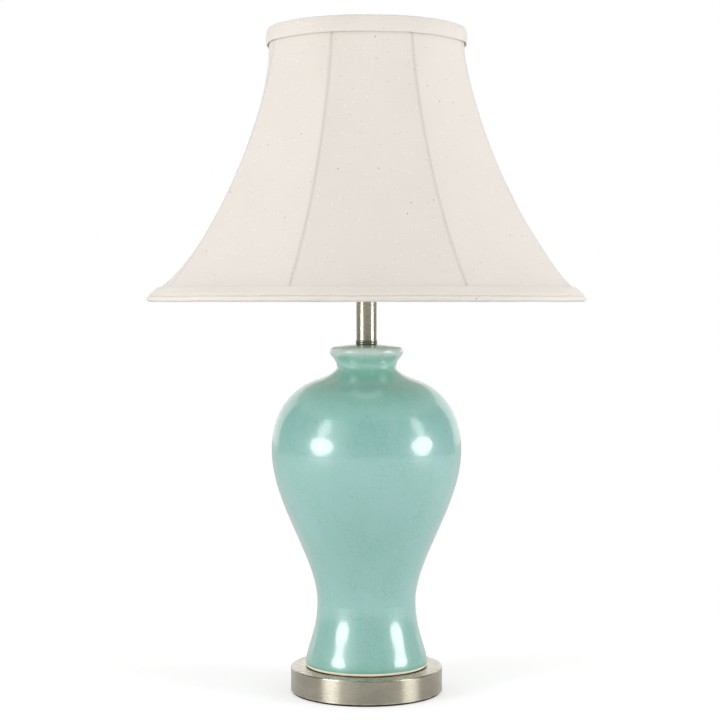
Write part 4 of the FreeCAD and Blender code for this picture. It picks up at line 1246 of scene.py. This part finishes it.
@dataclass
class Studio:
    """The floor, the lights, the surroundings and the camera.

    Attributes:
        distance: How far the camera stands in front of the lamp's axis.
        eye: The camera's height.
        lens: Its focal length, in millimetres.
        tilt: How far it looks down, in degrees.
        aside: How far it stands to the left of the lamp's axis.
        fill: The brightness of the room's even light.
        floor: Half the floor's width.
        lift: How much brighter than its own shade the eye sees the floor.
        near_white: Where the floor begins to look plain white, from the lamp's axis.
        far_white: Where it is plain white.
        wall: How far the dim wall stands from the lamp's axis.
        wall_height: Its height.
        wall_reach: How far it goes round the lamp, in degrees, open at the back.
        wall_steps: How many flat pieces it has.
        sides: How far the lights hang round from the camera, left and right, in degrees.
        lights: The softbox of each side and the dimmer strip above it.
    """

    distance: float = 1.61
    eye: float = 0.359
    lens: float = 87.3
    tilt: float = 1.87
    aside: float = 0.006
    fill: float = 0.745
    floor: float = 4.0
    lift: float = 0.36
    near_white: float = 0.18
    far_white: float = 0.60
    wall: float = 2.6
    wall_height: float = 4.2
    wall_reach: float = 264.0
    wall_steps: int = 60
    sides: tuple[float, float] = (-55.0, 69.0)
    lights: tuple[SoftLight, ...] = (SoftLight("softbox", 4.0, 0.94, 0.50, 7.6),
                                     SoftLight("glow", 24.0, 0.42, 0.80, 3.1))

    def build(self) -> None:
        """Set up everything round the lamp."""
        self.build_world()
        self.build_floor()
        self.build_walls()
        for side, azimuth in zip(("left", "right"), self.sides):
            for light in self.lights:
                light.hang(side, azimuth)
        camera = bpy.data.cameras.new("camera")
        camera.lens = self.lens
        camera.sensor_width = 36.0
        stand = bpy.data.objects.new("camera", camera)
        stand.location = (-self.aside, -self.distance, self.eye)
        stand.rotation_euler = (math.radians(90 - self.tilt), 0, 0)
        bpy.context.scene.collection.objects.link(stand)
        bpy.context.scene.camera = stand
        bpy.context.scene.view_settings.view_transform = "Standard"

    def rays(self, tree: bpy.types.NodeTree, names: Sequence[str]) -> Socket:
        """1 for the named kinds of ray and 0 for the rest."""
        path = tree.nodes.new("ShaderNodeLightPath")
        found = path.outputs[names[0]]
        for name in names[1:]:
            either = tree.nodes.new("ShaderNodeMath")
            either.operation = "MAXIMUM"
            tree.links.new(found, either.inputs[0])
            tree.links.new(path.outputs[name], either.inputs[1])
            found = either.outputs[0]
        return found

    def build_world(self) -> None:
        """A white backdrop to the eye and in reflections, and an even light for the rest."""
        world = bpy.data.worlds.new("room")
        bpy.context.scene.world = world
        world.use_nodes = True
        tree = world.node_tree
        tree.nodes.clear()
        seen, felt = (tree.nodes.new("ShaderNodeBackground") for _ in range(2))
        seen.inputs["Color"].default_value = (1, 1, 1, 1)
        felt.inputs["Color"].default_value = (1.0, 0.99, 0.98, 1)
        felt.inputs["Strength"].default_value = self.fill
        mix = tree.nodes.new("ShaderNodeMixShader")
        out = tree.nodes.new("ShaderNodeOutputWorld")
        rays = self.rays(tree, ("Is Camera Ray", "Is Glossy Ray", "Is Transmission Ray"))
        tree.links.new(rays, mix.inputs[0])
        tree.links.new(felt.outputs[0], mix.inputs[1])
        tree.links.new(seen.outputs[0], mix.inputs[2])
        tree.links.new(mix.outputs[0], out.inputs[0])

    def build_floor(self) -> None:
        """A pale floor that looks white where nothing shades it and is clear from underneath."""
        reach = self.floor
        corners = [(-reach, -reach, 0), (reach, -reach, 0), (reach, reach, 0), (-reach, reach, 0)]
        floor = add_mesh("floor", corners, [(0, 1, 2, 3)])
        floor.location = (0, 0, -0.00005)
        mix = Recipe("pale_floor")
        speckle = mix.noise(60, 3.0)
        mix.drive("Base Color", mix.blend(speckle, (0.80, 0.80, 0.80), (0.78, 0.78, 0.78)))
        mix.fix(roughness=0.9, specular_ior_level=0.0)
        glow = mix.node("Emission")
        seen = self.rays(mix.tree, ("Is Camera Ray", "Is Transmission Ray"))
        mix.feed(glow.inputs["Strength"], mix.math("MULTIPLY", seen, self.lift))
        both = mix.node("AddShader")
        mix.feed(both.inputs[0], mix.shader.outputs[0])
        mix.feed(both.inputs[1], glow.outputs[0])
        away = mix.node("VectorMath", operation="LENGTH")
        mix.feed(away.inputs[0], mix.place(Space.SOLID))
        far = mix.node("MixShader")
        plain = mix.node("Emission")
        white = mix.span(away.outputs["Value"], self.near_white, self.far_white)
        mix.feed(far.inputs[0], mix.math("MULTIPLY", white, seen))
        mix.feed(far.inputs[1], both.outputs[0])
        mix.feed(far.inputs[2], plain.outputs[0])
        under = mix.node("MixShader")
        behind = mix.node("NewGeometry").outputs["Backfacing"]
        below = mix.math("MULTIPLY", behind, self.rays(mix.tree, ("Is Camera Ray",)))
        mix.feed(under.inputs[0], below)
        mix.feed(under.inputs[1], far.outputs[0])
        mix.feed(under.inputs[2], mix.node("BsdfTransparent").outputs[0])
        mix.feed(mix.tree.nodes["Material Output"].inputs[0], under.outputs[0])
        paint(floor, mix.material)

    def build_walls(self) -> None:
        """The dim side of the room, which only reflections see."""
        points = []
        for step in range(self.wall_steps + 1):
            turn = math.radians(-90 + (step / self.wall_steps - 0.5) * self.wall_reach)
            for height in (-0.02, self.wall_height):
                points.append((self.wall * math.cos(turn), self.wall * math.sin(turn), height))
        faces = [(2 * step, 2 * step + 2, 2 * step + 3, 2 * step + 1) for step in range(self.wall_steps)]
        wall = add_mesh("room_wall", points, faces)
        mix = Recipe("dim_wall")
        side, depth, rise = mix.parts(mix.place(Space.SOLID))
        shade = mix.math("ADD", mix.span(depth, -2.2, 1.6, 0.02, 0.16), mix.span(rise, 0.0, 0.9, 0.10, 0.0))
        front = mix.span(depth, -1.3, -0.9, 1.0, 0.0)
        for near, far, bright in ((-0.3, -2.0, 0.9), (0.5, 2.1, 0.15)):
            spill = mix.math("MULTIPLY", mix.span(side, near, far, 0.0, bright), front)
            shade = mix.math("ADD", shade, spill)
        glow = mix.node("Emission")
        mix.feed(glow.inputs["Strength"], shade)
        mix.feed(mix.tree.nodes["Material Output"].inputs[0], glow.outputs[0])
        paint(wall, mix.material)
        wall.visible_camera = False
        wall.visible_diffuse = False
        wall.visible_shadow = False
        wall.visible_transmission = False


def main() -> None:
    """Load the frame, build each sub-assembly and log what was built."""
    logging.basicConfig(level=logging.INFO)
    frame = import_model()
    Studio().build()
    Shade(Bell()).build()
    Base().build()
    Knob().build()
    Frame(frame).dress()


if __name__ == "__main__":
    main()
